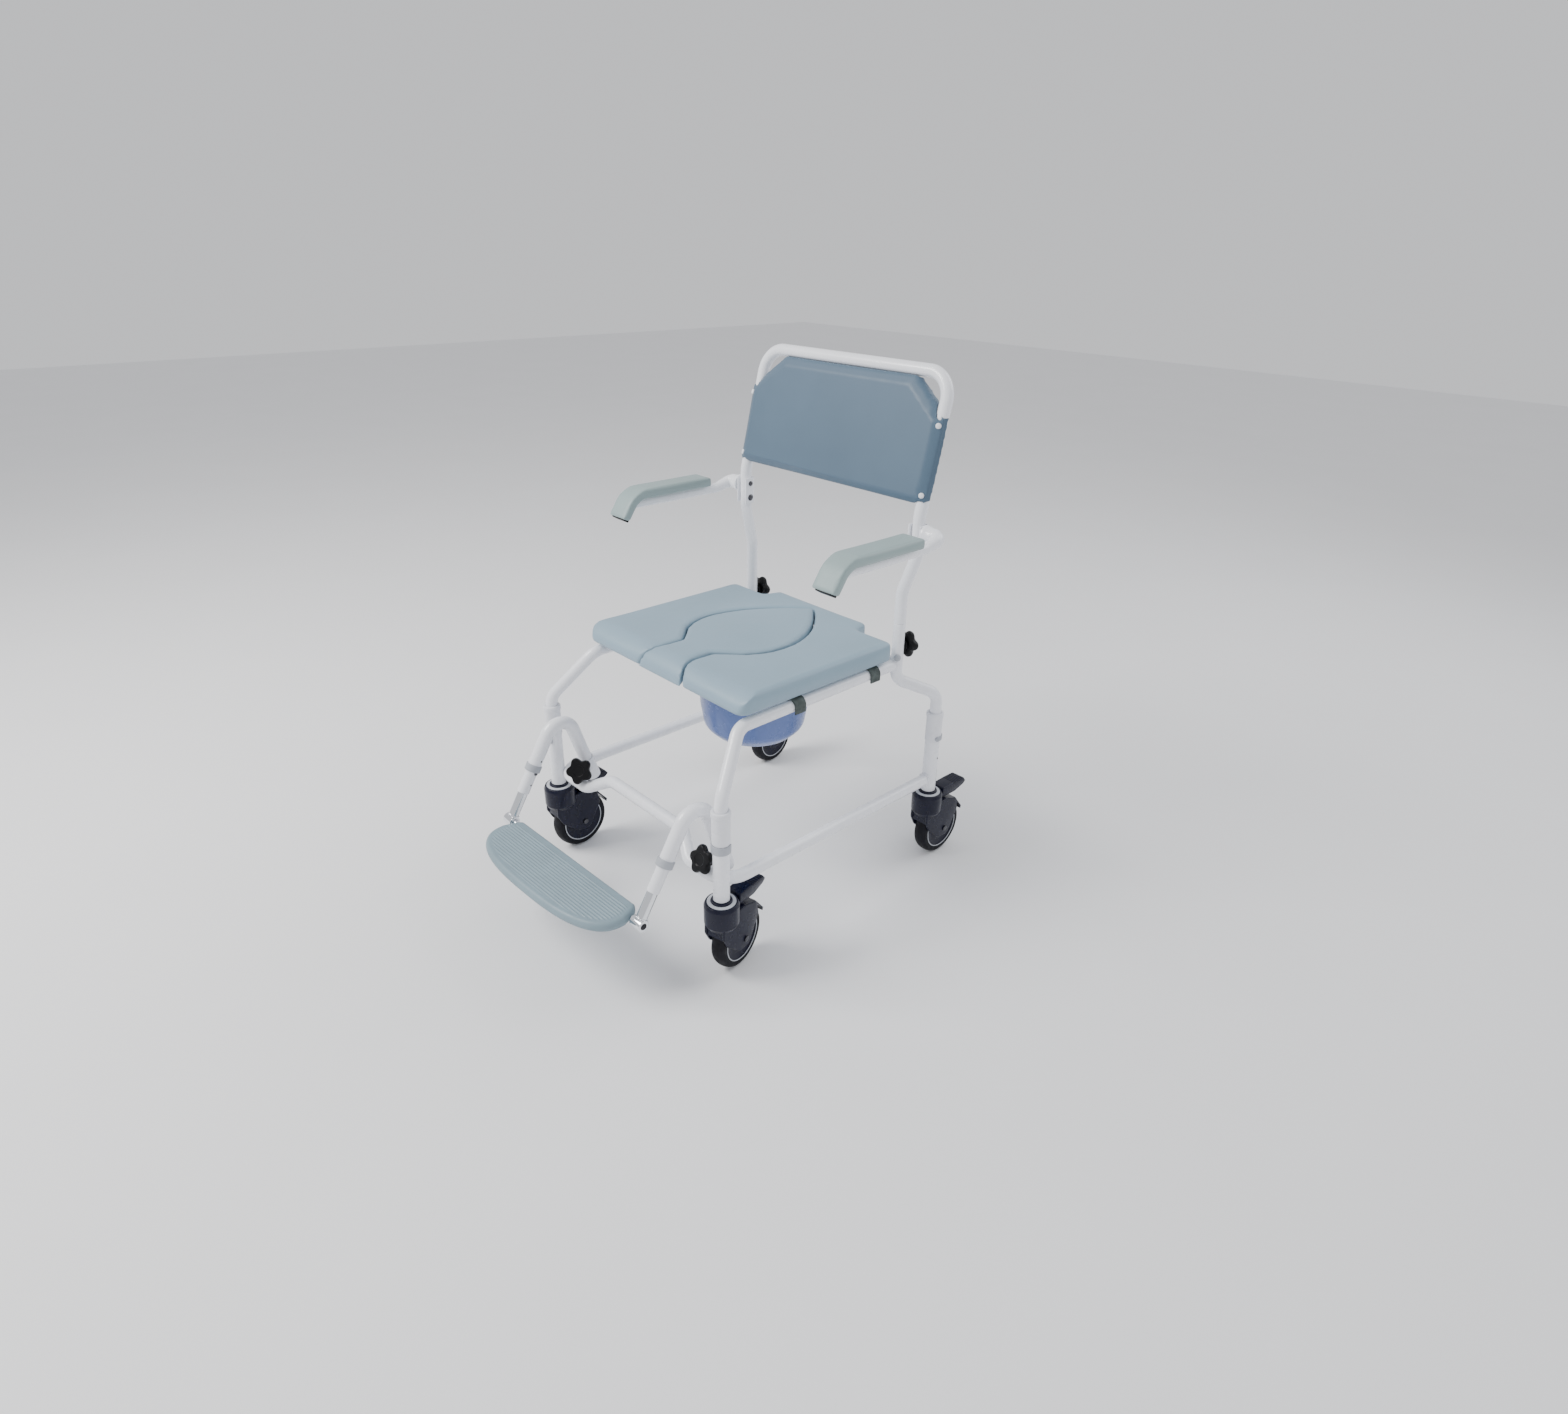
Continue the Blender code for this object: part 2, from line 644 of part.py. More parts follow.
def build_back_pad(chair):
    """A flat pad with cut top corners and a bevelled border, channelled behind for the frame."""
    corners = [
        (-PAD_HALF_WIDTH, PAD_LOW_Z),
        (PAD_HALF_WIDTH, PAD_LOW_Z),
        (PAD_HALF_WIDTH, PAD_CHAMFER_Z),
        (PAD_TOP_HALF_WIDTH, PAD_HIGH_Z),
        (-PAD_TOP_HALF_WIDTH, PAD_HIGH_Z),
        (-PAD_HALF_WIDTH, PAD_CHAMFER_Z),
    ]
    outline = rounded_outline(corners, [0.010, 0.010, 0.014, 0.014, 0.014, 0.014], 45.0)
    bm = bmesh.new()
    face = bm.faces.new([bm.verts.new((x, back_plane(z, PAD_AHEAD - PAD_THICKNESS), z)) for x, z in outline])
    sides = bmesh.ops.extrude_face_region(bm, geom=[face])
    lifted = [item for item in sides["geom"] if isinstance(item, bmesh.types.BMVert)]
    bmesh.ops.translate(bm, vec=(0, -(PAD_THICKNESS - PAD_BEVEL_DEPTH), 0), verts=lifted)
    front = [item for item in sides["geom"] if isinstance(item, bmesh.types.BMFace)]
    bmesh.ops.inset_region(bm, faces=front, thickness=PAD_BORDER, depth=0.0)
    bmesh.ops.translate(bm, vec=(0, -PAD_BEVEL_DEPTH, 0), verts=front[0].verts[:])
    pad = mesh_from(bm)
    channel = tube_mesh(back_frame_path(SOCKET_TOP + 0.05), TUBE_R + 0.0004)
    pad = combined(pad, ("DIFFERENCE", channel))
    place("back_pad", pad, "back_foam", chair)


# Arms ----------------------------------------------------------------------------------------

def build_arm_brackets(chair):
    """A channel wrapped round each post, with bolt heads and the arm's hinge pin on its outside."""
    inner = TUBE_R + GAP
    outer = inner + BRACKET_WALL
    front = ARM_POST_Y - TUBE_R - 0.001
    rear = ARM_POST_Y + outer
    bolt_z = BRACKET_LOW_Z + 0.011
    for side, hand in SIDES.items():
        channel = [(-outer, front), (-inner, front), (-inner, rear - BRACKET_WALL), (inner, rear - BRACKET_WALL),
                   (inner, front), (outer, front), (outer, rear), (-outer, rear)]
        wall = plate_mesh(
            channel, BRACKET_LOW_Z, BRACKET_HIGH_Z, Matrix.Translation((side * ARM_POST_X, 0, 0))
        )
        start = side * (ARM_POST_X + outer - 0.001)
        pin = rod_mesh((start, ARM_POST_Y, ARM_PIVOT_Z), (start + side * 0.021, ARM_POST_Y, ARM_PIVOT_Z), ARM_PIN_R, 12)
        heads = []
        for toward in (1, -1):
            low = side * ARM_POST_X + toward * (outer - 0.001)
            high = low + toward * 0.0045
            heads.append(rod_mesh((low, ARM_POST_Y, bolt_z), (high, ARM_POST_Y, bolt_z), 0.0055, 12))
        bracket = combined(wall, ("UNION", pin), *[("UNION", head) for head in heads])
        place(f"arm_bracket_{hand}", bracket, "white_coat", chair)


def build_arm_tubes(chair):
    """A tube under each arm pad that turns in to the hinge and flares to a flange against it."""
    flange_x = ARM_POST_X + TUBE_R + BRACKET_WALL + 0.0013
    swell = 0.0060
    for side, hand in SIDES.items():
        corners = [
            (ARM_X, ARM_FRONT_Y, ARM_Z),
            (ARM_X, 0.425, ARM_Z),
            (ARM_X, ARM_POST_Y, ARM_PIVOT_Z),
            (flange_x + 0.001, ARM_POST_Y, ARM_PIVOT_Z),
        ]
        path = [Vector((side * p.x, p.y, p.z)) for p in round_corners(corners, [0.03, 0.014])]
        past = [max(0.0, p.y - 0.430) / (ARM_POST_Y - 0.430) + (ARM_X - abs(p.x)) / 0.04 for p in path]
        tube = tube_mesh(path, ARM_TUBE_R, [1.0 + swell / ARM_TUBE_R * min(1.0, t * 0.75) for t in past])
        flare = turned_mesh(
            [(0, 0), (0.0168, 0), (0.0168, 0.0035), (0.0140, 0.012), (0, 0.012)],
            move=Matrix.Translation((side * flange_x, ARM_POST_Y, ARM_PIVOT_Z))
            @ Matrix.Rotation(side * math.radians(90), 4, "Y"),
        )
        bore = rod_mesh(
            (side * (flange_x - 0.005), ARM_POST_Y, ARM_PIVOT_Z),
            (side * (flange_x + 0.0215), ARM_POST_Y, ARM_PIVOT_Z),
            ARM_BORE_R,
            12,
        )
        arm = combined(tube, ("UNION", flare), ("DIFFERENCE", bore))
        place(f"arm_tube_{hand}", arm, "white_coat", chair)


def arm_pad_side():
    """The pad's side outline in (y, z): level on top, drooping over the front end."""
    low = ARM_PAD_TOP - ARM_PAD_THICKNESS
    top = [(ARM_PAD_REAR_Y, ARM_PAD_TOP), (0.231, ARM_PAD_TOP), (0.205, 0.684), (0.181, 0.648)]
    under = [(0.198, 0.6405), (0.2175, 0.669), (0.2305, low), (ARM_PAD_REAR_Y, low)]
    radii = [0.004, 0.030, 0.045, 0.003, 0.003, 0.022, 0.020, 0.003]
    return rounded_outline(top + under, radii, 24.0)


def build_arm_pads(chair):
    """Padded arm rests, channelled underneath for the tube they are screwed to."""
    for side, hand in SIDES.items():
        centre = side * ARM_X
        pad = plate_mesh(
            arm_pad_side(), centre - ARM_PAD_HALF_WIDTH, centre + ARM_PAD_HALF_WIDTH, SIDEWAYS, 0.004
        )
        channel = rod_mesh((centre, ARM_FRONT_Y - 0.004, ARM_Z), (centre, 0.45, ARM_Z), ARM_TUBE_R + GAP, 12)
        pad = combined(pad, ("DIFFERENCE", channel))
        place(f"arm_pad_{hand}", pad, "arm_foam", chair)


# Seat ----------------------------------------------------------------------------------------

def hole_half_width(y):
    """Half the width of the commode opening: a pear that runs out into a flared slot in front."""
    if y >= HOLE_Y:
        return HOLE_R * (1.0 - ((y - HOLE_Y) / HOLE_REAR_REACH) ** 2)
    oval = HOLE_R * math.sqrt(max(0.0, 1.0 - ((HOLE_Y - y) / HOLE_FRONT_REACH) ** 2))
    slot = SLOT_HALF_WIDTH + 0.018 * max(0.0, (SLOT_FLARE_Y - y) / 0.045) ** 2
    return (oval**8 + slot**8) ** 0.125


def hole_outline(grow, front_reach, rows=9):
    """The opening's outline from the front, round the back and to the front again."""
    span = HOLE_Y - SEAT_FRONT_Y
    ys = [SEAT_FRONT_Y + span * i / rows for i in range(rows)]
    ys += [HOLE_Y + HOLE_REAR_REACH * i / rows for i in range(rows)]
    right = [(hole_half_width(y) + grow, y) for y in ys]
    right.insert(0, (right[0][0], SEAT_FRONT_Y - front_reach))
    return right + [(0.0, HOLE_Y + HOLE_REAR_REACH + grow)] + [(-x, y) for x, y in reversed(right)]


def waterfall_cutter(front):
    """A block whose rounded underside, subtracted, leaves a waterfall front edge."""
    reach = SEAT_TOP - SEAT_Z
    centre_y = front + reach
    arc = [math.radians(90 + 90 * i / 5) for i in range(6)]
    curve = [(centre_y + reach * math.cos(a), SEAT_TOP - 0.036 + 0.036 * math.sin(a)) for a in arc]
    block = [(centre_y, SEAT_TOP + 0.01), (front - 0.02, SEAT_TOP + 0.01), (front - 0.02, SEAT_TOP - 0.036)]
    outline = [curve[0]] + block[:1] + block[1:] + list(reversed(curve[1:]))
    return plate_mesh(outline, -0.3, 0.3, SIDEWAYS)


def build_seat(chair):
    """A moulded seat with a tongue behind, and the removable infill that closes its opening."""
    outline = rounded_outline(
        [
            (-SEAT_HALF_WIDTH, SEAT_FRONT_Y), (SEAT_HALF_WIDTH, SEAT_FRONT_Y),
            (SEAT_HALF_WIDTH, SEAT_REAR_Y), (TONGUE_HALF_WIDTH, SEAT_REAR_Y),
            (TONGUE_HALF_WIDTH - 0.012, SEAT_TONGUE_Y), (-TONGUE_HALF_WIDTH + 0.012, SEAT_TONGUE_Y),
            (-TONGUE_HALF_WIDTH, SEAT_REAR_Y), (-SEAT_HALF_WIDTH, SEAT_REAR_Y),
        ],
        [0.022, 0.022, 0.014, 0.006, 0.008, 0.008, 0.006, 0.014],
        30.0,
    )
    slab = plate_mesh(outline, SEAT_Z, SEAT_TOP, bevel=SEAT_EDGE)
    hole = plate_mesh(hole_outline(INFILL_GAP / 2, 0.020), SEAT_Z - 0.02, SEAT_TOP + 0.02)
    seat = combined(slab, ("DIFFERENCE", waterfall_cutter(SEAT_FRONT_Y)), ("DIFFERENCE", hole))
    place("seat_pad", seat, "seat_foam", chair)

    plug = plate_mesh(hole_outline(-INFILL_GAP / 2, 0.001), SEAT_Z, SEAT_TOP)
    infill = combined(plug, ("DIFFERENCE", waterfall_cutter(SEAT_FRONT_Y)))
    place("seat_infill", infill, "seat_foam", chair)


def build_seat_clips(chair):
    """Saddle clips under the seat that push down over the side rails."""
    inner = TUBE_R + 0.0005
    outer = inner + 0.0030
    top = SEAT_Z - GAP - RAIL_Z
    angles = [math.radians(a) for a in range(0, 181, 20)]
    ring = [(inner, -CLIP_LEG)] + [(inner * math.cos(a), inner * math.sin(a)) for a in angles]
    ring.append((-inner, -CLIP_LEG))
    arc = [(outer * math.cos(a), min(outer * math.sin(a), top)) for a in reversed(angles)]
    arc = [(-outer, -CLIP_LEG)] + arc + [(outer, -CLIP_LEG)]
    for y, end in ((CLIP_FRONT_Y, "front"), (CLIP_REAR_Y, "rear")):
        share = (y - RAIL_FRONT_Y) / (POST_Y - RAIL_FRONT_Y)
        x = RAIL_X_FRONT + (POST_X - RAIL_X_FRONT) * share
        clip = plate_mesh(ring + arc, y - 0.012, y + 0.012, Matrix.Rotation(math.radians(90), 4, "X"))
        clip = moved(clip, Matrix.Scale(-1, 4, (0, 1, 0)))
        clip.flip_normals()
        for side, hand in SIDES.items():
            place(f"seat_clip_{end}_{hand}", clip, "clip_rubber", chair, (side * x, 0, RAIL_Z))


def build_pan(chair):
    """A round pan with a flat rim, hung on a U-shaped guide under the seat."""
    wall = PAN_WALL
    outside = [(PAN_FOOT_R, PAN_BOTTOM), PAN_SHOULDER, PAN_WAIST, (PAN_R, PAN_RIM_Z - wall)]
    inside = [
        (PAN_R - wall, PAN_RIM_Z),
        (PAN_WAIST[0] - wall, PAN_WAIST[1]),
        (PAN_SHOULDER[0] - wall, PAN_SHOULDER[1] + wall),
        (PAN_FOOT_R - wall / 2, PAN_BOTTOM + wall),
    ]
    rim = [(PAN_RIM_R, PAN_RIM_Z - wall), (PAN_RIM_R, PAN_RIM_Z)]
    profile = [(0, PAN_BOTTOM)] + outside + rim + inside + [(0, PAN_BOTTOM + wall)]
    place("commode_pan", turned_mesh(profile, sides=24), "pan_plastic", chair, (0, PAN_Y, 0))


def build_pan_guide(chair):
    """Two lipped runners joined by a front strip; the pan's rim slides in from behind."""
    top = SEAT_Z - GAP
    lip_top = PAN_RIM_Z - PAN_WALL - GAP
    front = PAN_Y - PAN_RIM_R - 0.006
    rear = PAN_Y + PAN_RIM_R + 0.006
    runner = [
        (GUIDE_X, lip_top - 0.0025), (PAN_RIM_R + 0.0035, lip_top - 0.0025), (PAN_RIM_R + 0.0035, top),
        (PAN_RIM_R + 0.001, top), (PAN_RIM_R + 0.001, lip_top), (GUIDE_X, lip_top),
    ]
    stand = Matrix.Rotation(math.radians(90), 4, "X")
    left = plate_mesh(runner, -rear, -front, stand)
    mirror = moved(left, Matrix.Scale(-1, 4, (1, 0, 0)))
    mirror.flip_normals()
    reach = PAN_RIM_R + 0.0030
    strip = plate_mesh(
        [(-reach, front - 0.0025), (reach, front - 0.0025), (reach, front + 0.001), (-reach, front + 0.001)],
        top - 0.020, top - 0.001,
    )
    guide = combined(left, ("UNION", strip), ("UNION", mirror))
    place("pan_guide", guide, "white_plastic", chair)


# Footrest ------------------------------------------------------------------------------------

def drop_direction():
    """Down and forward along the footrest's telescoping tubes."""
    return (Vector((0, PIVOT_Y, PIVOT_Z)) - Vector((0, CROWN_Y, CROWN_Z))).normalized()


def build_hangers(chair):
    """Goosenecks from the sockets over the front bends, with a spring-button collar below."""
    down = drop_direction()
    foot = Vector((HANGER_X, FOOT_Y, FOOT_Z))
    crown = Vector((HANGER_X, CROWN_Y, CROWN_Z))
    end = crown + down * ((HANGER_END_Z - CROWN_Z) / down.z)
    collar = end - down * COLLAR_FROM_END
    for side, hand in SIDES.items():
        mirror = Vector((side, 1, 1))
        bend = round_corners([foot * mirror, crown * mirror, collar * mirror], [CROWN_R], 14.0)
        gooseneck = tube_mesh(bend, HANGER_R)
        inner = rod_mesh((collar - down * 0.006) * mirror, end * mirror, HANGER_LOW_R)
        ring = rod_mesh((collar - down * COLLAR_LENGTH) * mirror, (collar + down * 0.002) * mirror, COLLAR_R)
        bore = rod_mesh((end - down * 0.084) * mirror, (end + down * 0.01) * mirror, DROP_BORE_R)
        hanger = combined(gooseneck, ("UNION", inner), ("UNION", ring), ("DIFFERENCE", bore))
        place(f"footrest_hanger_{hand}", hanger, "white_coat", chair)


def build_drop_tubes(chair):
    """Chrome tubes that telescope in the hangers and carry the footplate's pivot sleeves."""
    down = drop_direction()
    crown = Vector((HANGER_X, CROWN_Y, CROWN_Z))
    pivot = crown + down * ((PIVOT_Z - CROWN_Z) / down.z)
    top = crown + down * ((HANGER_END_Z - CROWN_Z) / down.z) - down * DROP_INSERT
    for side, hand in SIDES.items():
        mirror = Vector((side, 1, 1))
        tube = rod_mesh(top * mirror, pivot * mirror, DROP_R)
        sleeve = rod_mesh(
            (pivot - Vector((0.013, 0, 0))) * mirror, (pivot + Vector((0.012, 0, 0))) * mirror, PIVOT_SLEEVE_R
        )
        bore = rod_mesh(
            (pivot - Vector((0.02, 0, 0))) * mirror, (pivot + Vector((0.006, 0, 0))) * mirror, ROD_R + GAP, 12
        )
        drop = combined(tube, ("UNION", sleeve), ("DIFFERENCE", bore))
        place(f"drop_tube_{hand}", drop, "chrome", chair)


def build_footplate(chair):
    """A D-shaped ribbed plate on a bent rod whose ends turn in the drop tubes' sleeves."""
    turn = empty("footplate_axis", (0, PIVOT_Y, PIVOT_Z), parent=chair)
    front = PLATE_MIDDLE_Y - PLATE_DEPTH - PIVOT_Y
    rear = PLATE_REAR_Y - PIVOT_Y
    middle = PLATE_MIDDLE_Y - PIVOT_Y
    corner = round_corners(
        [(0, rear, 0), (PLATE_REAR_HALF_WIDTH, rear, 0), (PLATE_HALF_WIDTH, middle, 0)], [0.014], 30.0
    )[1:-1]
    power = 2 / PLATE_SQUARENESS
    outline = [(p.x, p.y) for p in corner]
    for i in range(21):
        across = math.cos(math.pi * i / 20)
        ahead = math.sin(math.pi * i / 20)
        x = math.copysign(PLATE_HALF_WIDTH * abs(across) ** power, across)
        outline.append((x, middle - PLATE_DEPTH * ahead**power))
    outline += [(-p.x, p.y) for p in reversed(corner)]
    skew = Matrix.Translation((PLATE_SHIFT_X, middle, 0)) @ Matrix.Rotation(math.radians(PLATE_SKEW), 4, "Z")
    skew = skew @ Matrix.Translation((0, -middle, 0))
    low = PLATE_BOTTOM - PIVOT_Z
    high = PLATE_TOP - PIVOT_Z
    drop = ROD_Z - PIVOT_Z
    half = [
        (HANGER_X + 0.003, 0, 0), (0.182, 0, 0), (0.168, 0, drop), (0.150, -0.008, drop),
        (0.130, front + 0.048, drop), (0.066, front + 0.018, drop),
    ]
    other = [(-x, y, z) for x, y, z in reversed(half)]
    radii = [0.007, 0.008, 0.012, 0.035, 0.060, 0.060, 0.035, 0.012, 0.008, 0.007]
    path = round_corners(half + other, radii, 30.0)
    place("footplate_rod", tube_mesh(path, ROD_R), "chrome", turn)
    slab = plate_mesh(outline, low, high, skew, bevel=PLATE_EDGE)
    plate = combined(slab, ("DIFFERENCE", tube_mesh(path, ROD_R + 0.0006)))
    place("footplate", plate, "plate_plastic", turn)


# Knobs ---------------------------------------------------------------------------------------

def star_knob_mesh(neck, screw_length):
    """A lobed grip on a neck.  The neck starts at the origin and the screw points down -Z."""
    count = 30
    outline = []
    for i in range(count):
        angle = math.tau * i / count
        radius = KNOB_R * (0.86 + 0.14 * math.cos(KNOB_LOBES * angle))
        outline.append((radius * math.cos(angle), radius * math.sin(angle)))
    grip = plate_mesh(outline, neck, neck + KNOB_THICKNESS, bevel=KNOB_EDGE)
    hub = rod_mesh((0, 0, 0), (0, 0, neck + 0.005), KNOB_HUB_R, 12)
    screw = rod_mesh((0, 0, -screw_length), (0, 0, 0.002), KNOB_SCREW_R, 10)
    return combined(grip, ("UNION", hub), ("UNION", screw))


def build_star_knobs(chair):
    """Clamp screws: two behind the back frame's sockets and two on the hanger sockets."""
    rear_gap = 0.0016
    rear = star_knob_mesh(0.005, TUBE_R + rear_gap - SPIGOT_R - 2 * GAP)
    boss_end = NUT_BOSS_END + GAP
    for side, hand in SIDES.items():
        seat = (side * POST_X, POST_Y + TUBE_R + rear_gap, REAR_KNOB_Z)
        knob = place(f"back_knob_{hand}", rear, "black_plastic", chair, seat)
        knob.rotation_euler = (math.radians(-90), 0, 0)
        aim = Vector(FRONT_KNOB_AIM) * Vector((side, 1, 1))
        reach = Vector(FRONT_KNOBS[side]) - aim
        neck = reach.length - boss_end - KNOB_THICKNESS / 2
        front = star_knob_mesh(neck, boss_end - HANGER_R - 0.0065)
        seat = aim + reach.normalized() * boss_end
        knob = place(f"hanger_knob_{hand}", front, "black_plastic", chair, seat)
        knob.rotation_mode = "QUATERNION"
        knob.rotation_quaternion = Vector((0, 0, 1)).rotation_difference(reach)


def build():
    clear_scene()
    chair = empty("chair", (0, CHAIR_Y, 0))
    build_base_tube(chair)
    build_legs(chair)
    build_height_locks(chair)
    build_hanger_sockets(chair)
    build_castors(chair)
    build_side_tubes(chair)
    build_rear_uprights(chair)
    build_cross_tube(chair)
    build_back_frame(chair)
    build_back_pad(chair)
    build_arm_brackets(chair)
    build_arm_tubes(chair)
    build_arm_pads(chair)
    build_seat(chair)
    build_seat_clips(chair)
    build_pan(chair)
    build_pan_guide(chair)
    build_hangers(chair)
    build_drop_tubes(chair)
    build_footplate(chair)
    build_star_knobs(chair)


build()
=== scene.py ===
"""Finished look of a wheeled commode and shower chair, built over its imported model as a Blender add-on."""

import bmesh
import bpy
import numpy as np
from mathutils import Matrix, Vector


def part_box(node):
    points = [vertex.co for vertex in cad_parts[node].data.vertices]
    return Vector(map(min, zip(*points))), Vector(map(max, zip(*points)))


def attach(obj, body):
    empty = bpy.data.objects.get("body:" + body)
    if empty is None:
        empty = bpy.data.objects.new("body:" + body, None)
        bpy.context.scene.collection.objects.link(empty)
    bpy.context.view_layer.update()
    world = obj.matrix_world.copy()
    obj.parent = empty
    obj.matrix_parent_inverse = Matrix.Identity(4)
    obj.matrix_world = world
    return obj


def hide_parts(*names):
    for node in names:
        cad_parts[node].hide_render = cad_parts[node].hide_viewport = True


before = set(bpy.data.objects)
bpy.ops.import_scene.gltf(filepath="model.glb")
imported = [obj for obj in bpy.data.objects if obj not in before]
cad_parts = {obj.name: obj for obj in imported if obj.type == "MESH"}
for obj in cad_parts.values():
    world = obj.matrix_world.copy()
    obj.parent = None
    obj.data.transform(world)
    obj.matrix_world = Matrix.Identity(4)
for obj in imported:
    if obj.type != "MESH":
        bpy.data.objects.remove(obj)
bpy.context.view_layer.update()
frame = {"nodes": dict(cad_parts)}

bl_info = {
    "name": "Commode Chair Finish",
    "version": (1, 0, 0),
    "blender": (4, 5, 0),
    "location": "View3D > Sidebar > Chair",
    "description": "Builds the finished surfaces of a wheeled commode and shower chair",
    "category": "Object",
}


def middle(node):
    low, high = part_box(node)
    return (np.array(low) + np.array(high)) / 2


def top_of(node):
    return float(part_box(node)[1][2])


def bottom_of(node):
    return float(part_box(node)[0][2])


# Everything is laid out from the front legs' axis line and moved by LINE at the end.
LINE = np.array([0.0, middle("leg_front_left")[1], 0.0])
LEG_X = float(middle("leg_front_left")[0])
REAR = float(middle("leg_rear_left")[1] - LINE[1])
SIDES = ((1, "left"), (-1, "right"))
CORNERS = tuple((e, h, s, y) for e, y in (("front", 0.0), ("rear", REAR)) for s, h in SIDES)
YAWS = {"front_left": 14.0, "front_right": 3.0, "rear_left": 1.0, "rear_right": 5.0}
POST = np.array([0.200, 0.460])
ARM_POST = np.array([0.223, 0.463])
LEAN_Z = 0.707
RAIL_Z = 0.428
ARM_X = 0.2705
ARM_Z = 0.677
BASE_RADIUS = 0.01125
FRAME_RADIUS = 0.011
BACK_TOP = (0.518, 0.932)
CROWN = np.array([0.201, -0.0065, 0.351])
FOOT = np.array([0.201, 0.0456, 0.185])
PIVOT = np.array([0.201, -0.130, 0.147])
HANGER_END_Z = 0.194
AIM = np.array([0.201, 0.0425, 0.190])
GRIPS = {1: np.array([0.2015, -0.0025, 0.2095]), -1: np.array([-0.166, -0.0005, 0.2165])}
BACK_LEAN = (BACK_TOP[0] - ARM_POST[1]) / (BACK_TOP[1] - LEAN_Z)


# Shape tools -------------------------------------------------------------------------------------

def unit(v):
    v = np.asarray(v, float)
    return v / np.linalg.norm(v)


def rounded(corners, radii, step=5.0, closed=False):
    """A polyline whose corners are arcs: each arc is centred on the corner's bisector, at the radius
    over the sine of half the corner's angle, and starts where it is tangent to both runs."""
    pts = [np.asarray(c, float) for c in corners]
    count = len(pts)
    radii = [radii] * count if np.isscalar(radii) else list(radii)
    if not closed:
        radii = [0.0] + (radii if len(radii) == count - 2 else radii[1:-1]) + [0.0]
    out = []
    for i, (corner, radius) in enumerate(zip(pts, radii)):
        a = pts[i - 1] - corner
        b = pts[(i + 1) % count] - corner
        if radius <= 0 or (not closed and i in (0, count - 1)):
            out.append(corner[None])
            continue
        la, lb = np.linalg.norm(a), np.linalg.norm(b)
        a, b = a / la, b / lb
        half = np.arccos(np.clip(a @ b, -1, 1)) / 2
        if half > np.pi / 2 - 1e-3:
            out.append(corner[None])
            continue
        reach = min(radius / np.tan(half), 0.49 * la, 0.49 * lb)
        radius = reach * np.tan(half)
        centre = corner + unit(a + b) * radius / np.sin(half)
        start = corner + a * reach - centre
        end = corner + b * reach - centre
        turn = np.pi - 2 * half
        t = np.linspace(0, 1, max(3, int(np.ceil(np.degrees(turn) / step)) + 1))[:, None]
        out.append(centre + (np.sin((1 - t) * turn) * start + np.sin(t * turn) * end) / np.sin(turn))
    return np.concatenate(out)


def grid_faces(rows, columns, wrap=True):
    """Quads joining each row of points to the next, wrapping round the columns."""
    i = np.arange(rows - 1)[:, None]
    j = np.arange(columns if wrap else columns - 1)[None]
    k = (j + 1) % columns
    quads = np.stack([i * columns + j, i * columns + k, (i + 1) * columns + k, (i + 1) * columns + j], -1)
    return quads.reshape(-1, 4).tolist()


def joined(*parts):
    """Several (points, faces) shapes as one."""
    points, faces, base = [], [], 0
    for pts, fcs in parts:
        points.append(pts)
        faces += [[v + base for v in f] for f in fcs]
        base += len(pts)
    return np.concatenate(points), faces


def tube(path, radius, sides=36, ease=0.0007):
    """Rings of the given radius round each path point, square to the path, the first ring's
    direction carried along by the smallest turn from one tangent to the next."""
    path = np.asarray(path, float)
    keep = np.r_[True, np.linalg.norm(np.diff(path, axis=0), axis=1) > 1e-6]
    radius = np.broadcast_to(np.asarray(radius, float), (len(path),))[keep]
    path = path[keep]
    first, last = unit(path[1] - path[0]), unit(path[-1] - path[-2])
    path = np.concatenate([path[:1], path[:1] + first * ease, path[1:-1], path[-1:] - last * ease, path[-1:]])
    radius = np.concatenate([radius[:1] - ease, radius[:-1], radius[-1:], radius[-1:] - ease])
    tangent = np.gradient(path, axis=0)
    tangent /= np.linalg.norm(tangent, axis=1)[:, None]
    side = unit(np.cross(tangent[0], [0.31, 0.17, 0.93]))
    frames = []
    for t in tangent:
        side = unit(side - t * (side @ t))
        frames.append(side)
    frames = np.array(frames)
    other = np.cross(tangent, frames)
    a = np.linspace(0, 2 * np.pi, sides, endpoint=False)
    ring = frames[:, None] * np.cos(a)[None, :, None] + other[:, None] * np.sin(a)[None, :, None]
    points = path[:, None] + ring * radius[:, None, None]
    rows = len(path)
    faces = grid_faces(rows, sides)
    faces += [list(range(sides))[::-1], list(range((rows - 1) * sides, rows * sides))]
    return points.reshape(-1, 3), faces


def turned(profile, origin=(0, 0, 0), axis=(0, 0, 1), sides=64, closed=False, lobes=None):
    """A (radius, height) profile spun round an axis: radius times cosine and sine across the axis,
    height along it.  Lobes is the radius's factor at each angle and profile point."""
    profile = np.asarray(profile, float)
    axis = unit(axis)
    across = unit(np.cross(axis, [0.0, 1.0, 0.0] if abs(axis[1]) < 0.9 else [0.0, 0.0, 1.0]))
    other = np.cross(axis, across)
    a = np.linspace(0, 2 * np.pi, sides, endpoint=False)
    factor = np.ones((len(profile), sides)) if lobes is None else lobes(profile, a)
    r = profile[:, :1] * factor
    ring = across * np.cos(a)[:, None] + other * np.sin(a)[:, None]
    height = profile[:, 1:2] * np.ones((1, sides))
    points = np.asarray(origin) + r[..., None] * ring + height[..., None] * axis
    faces = grid_faces(len(profile), sides)
    if closed:
        base = (len(profile) - 1) * sides
        j = np.arange(sides)
        k = (j + 1) % sides
        faces += np.stack([base + j, base + k, k, j], -1).tolist()
    return points.reshape(-1, 3), faces


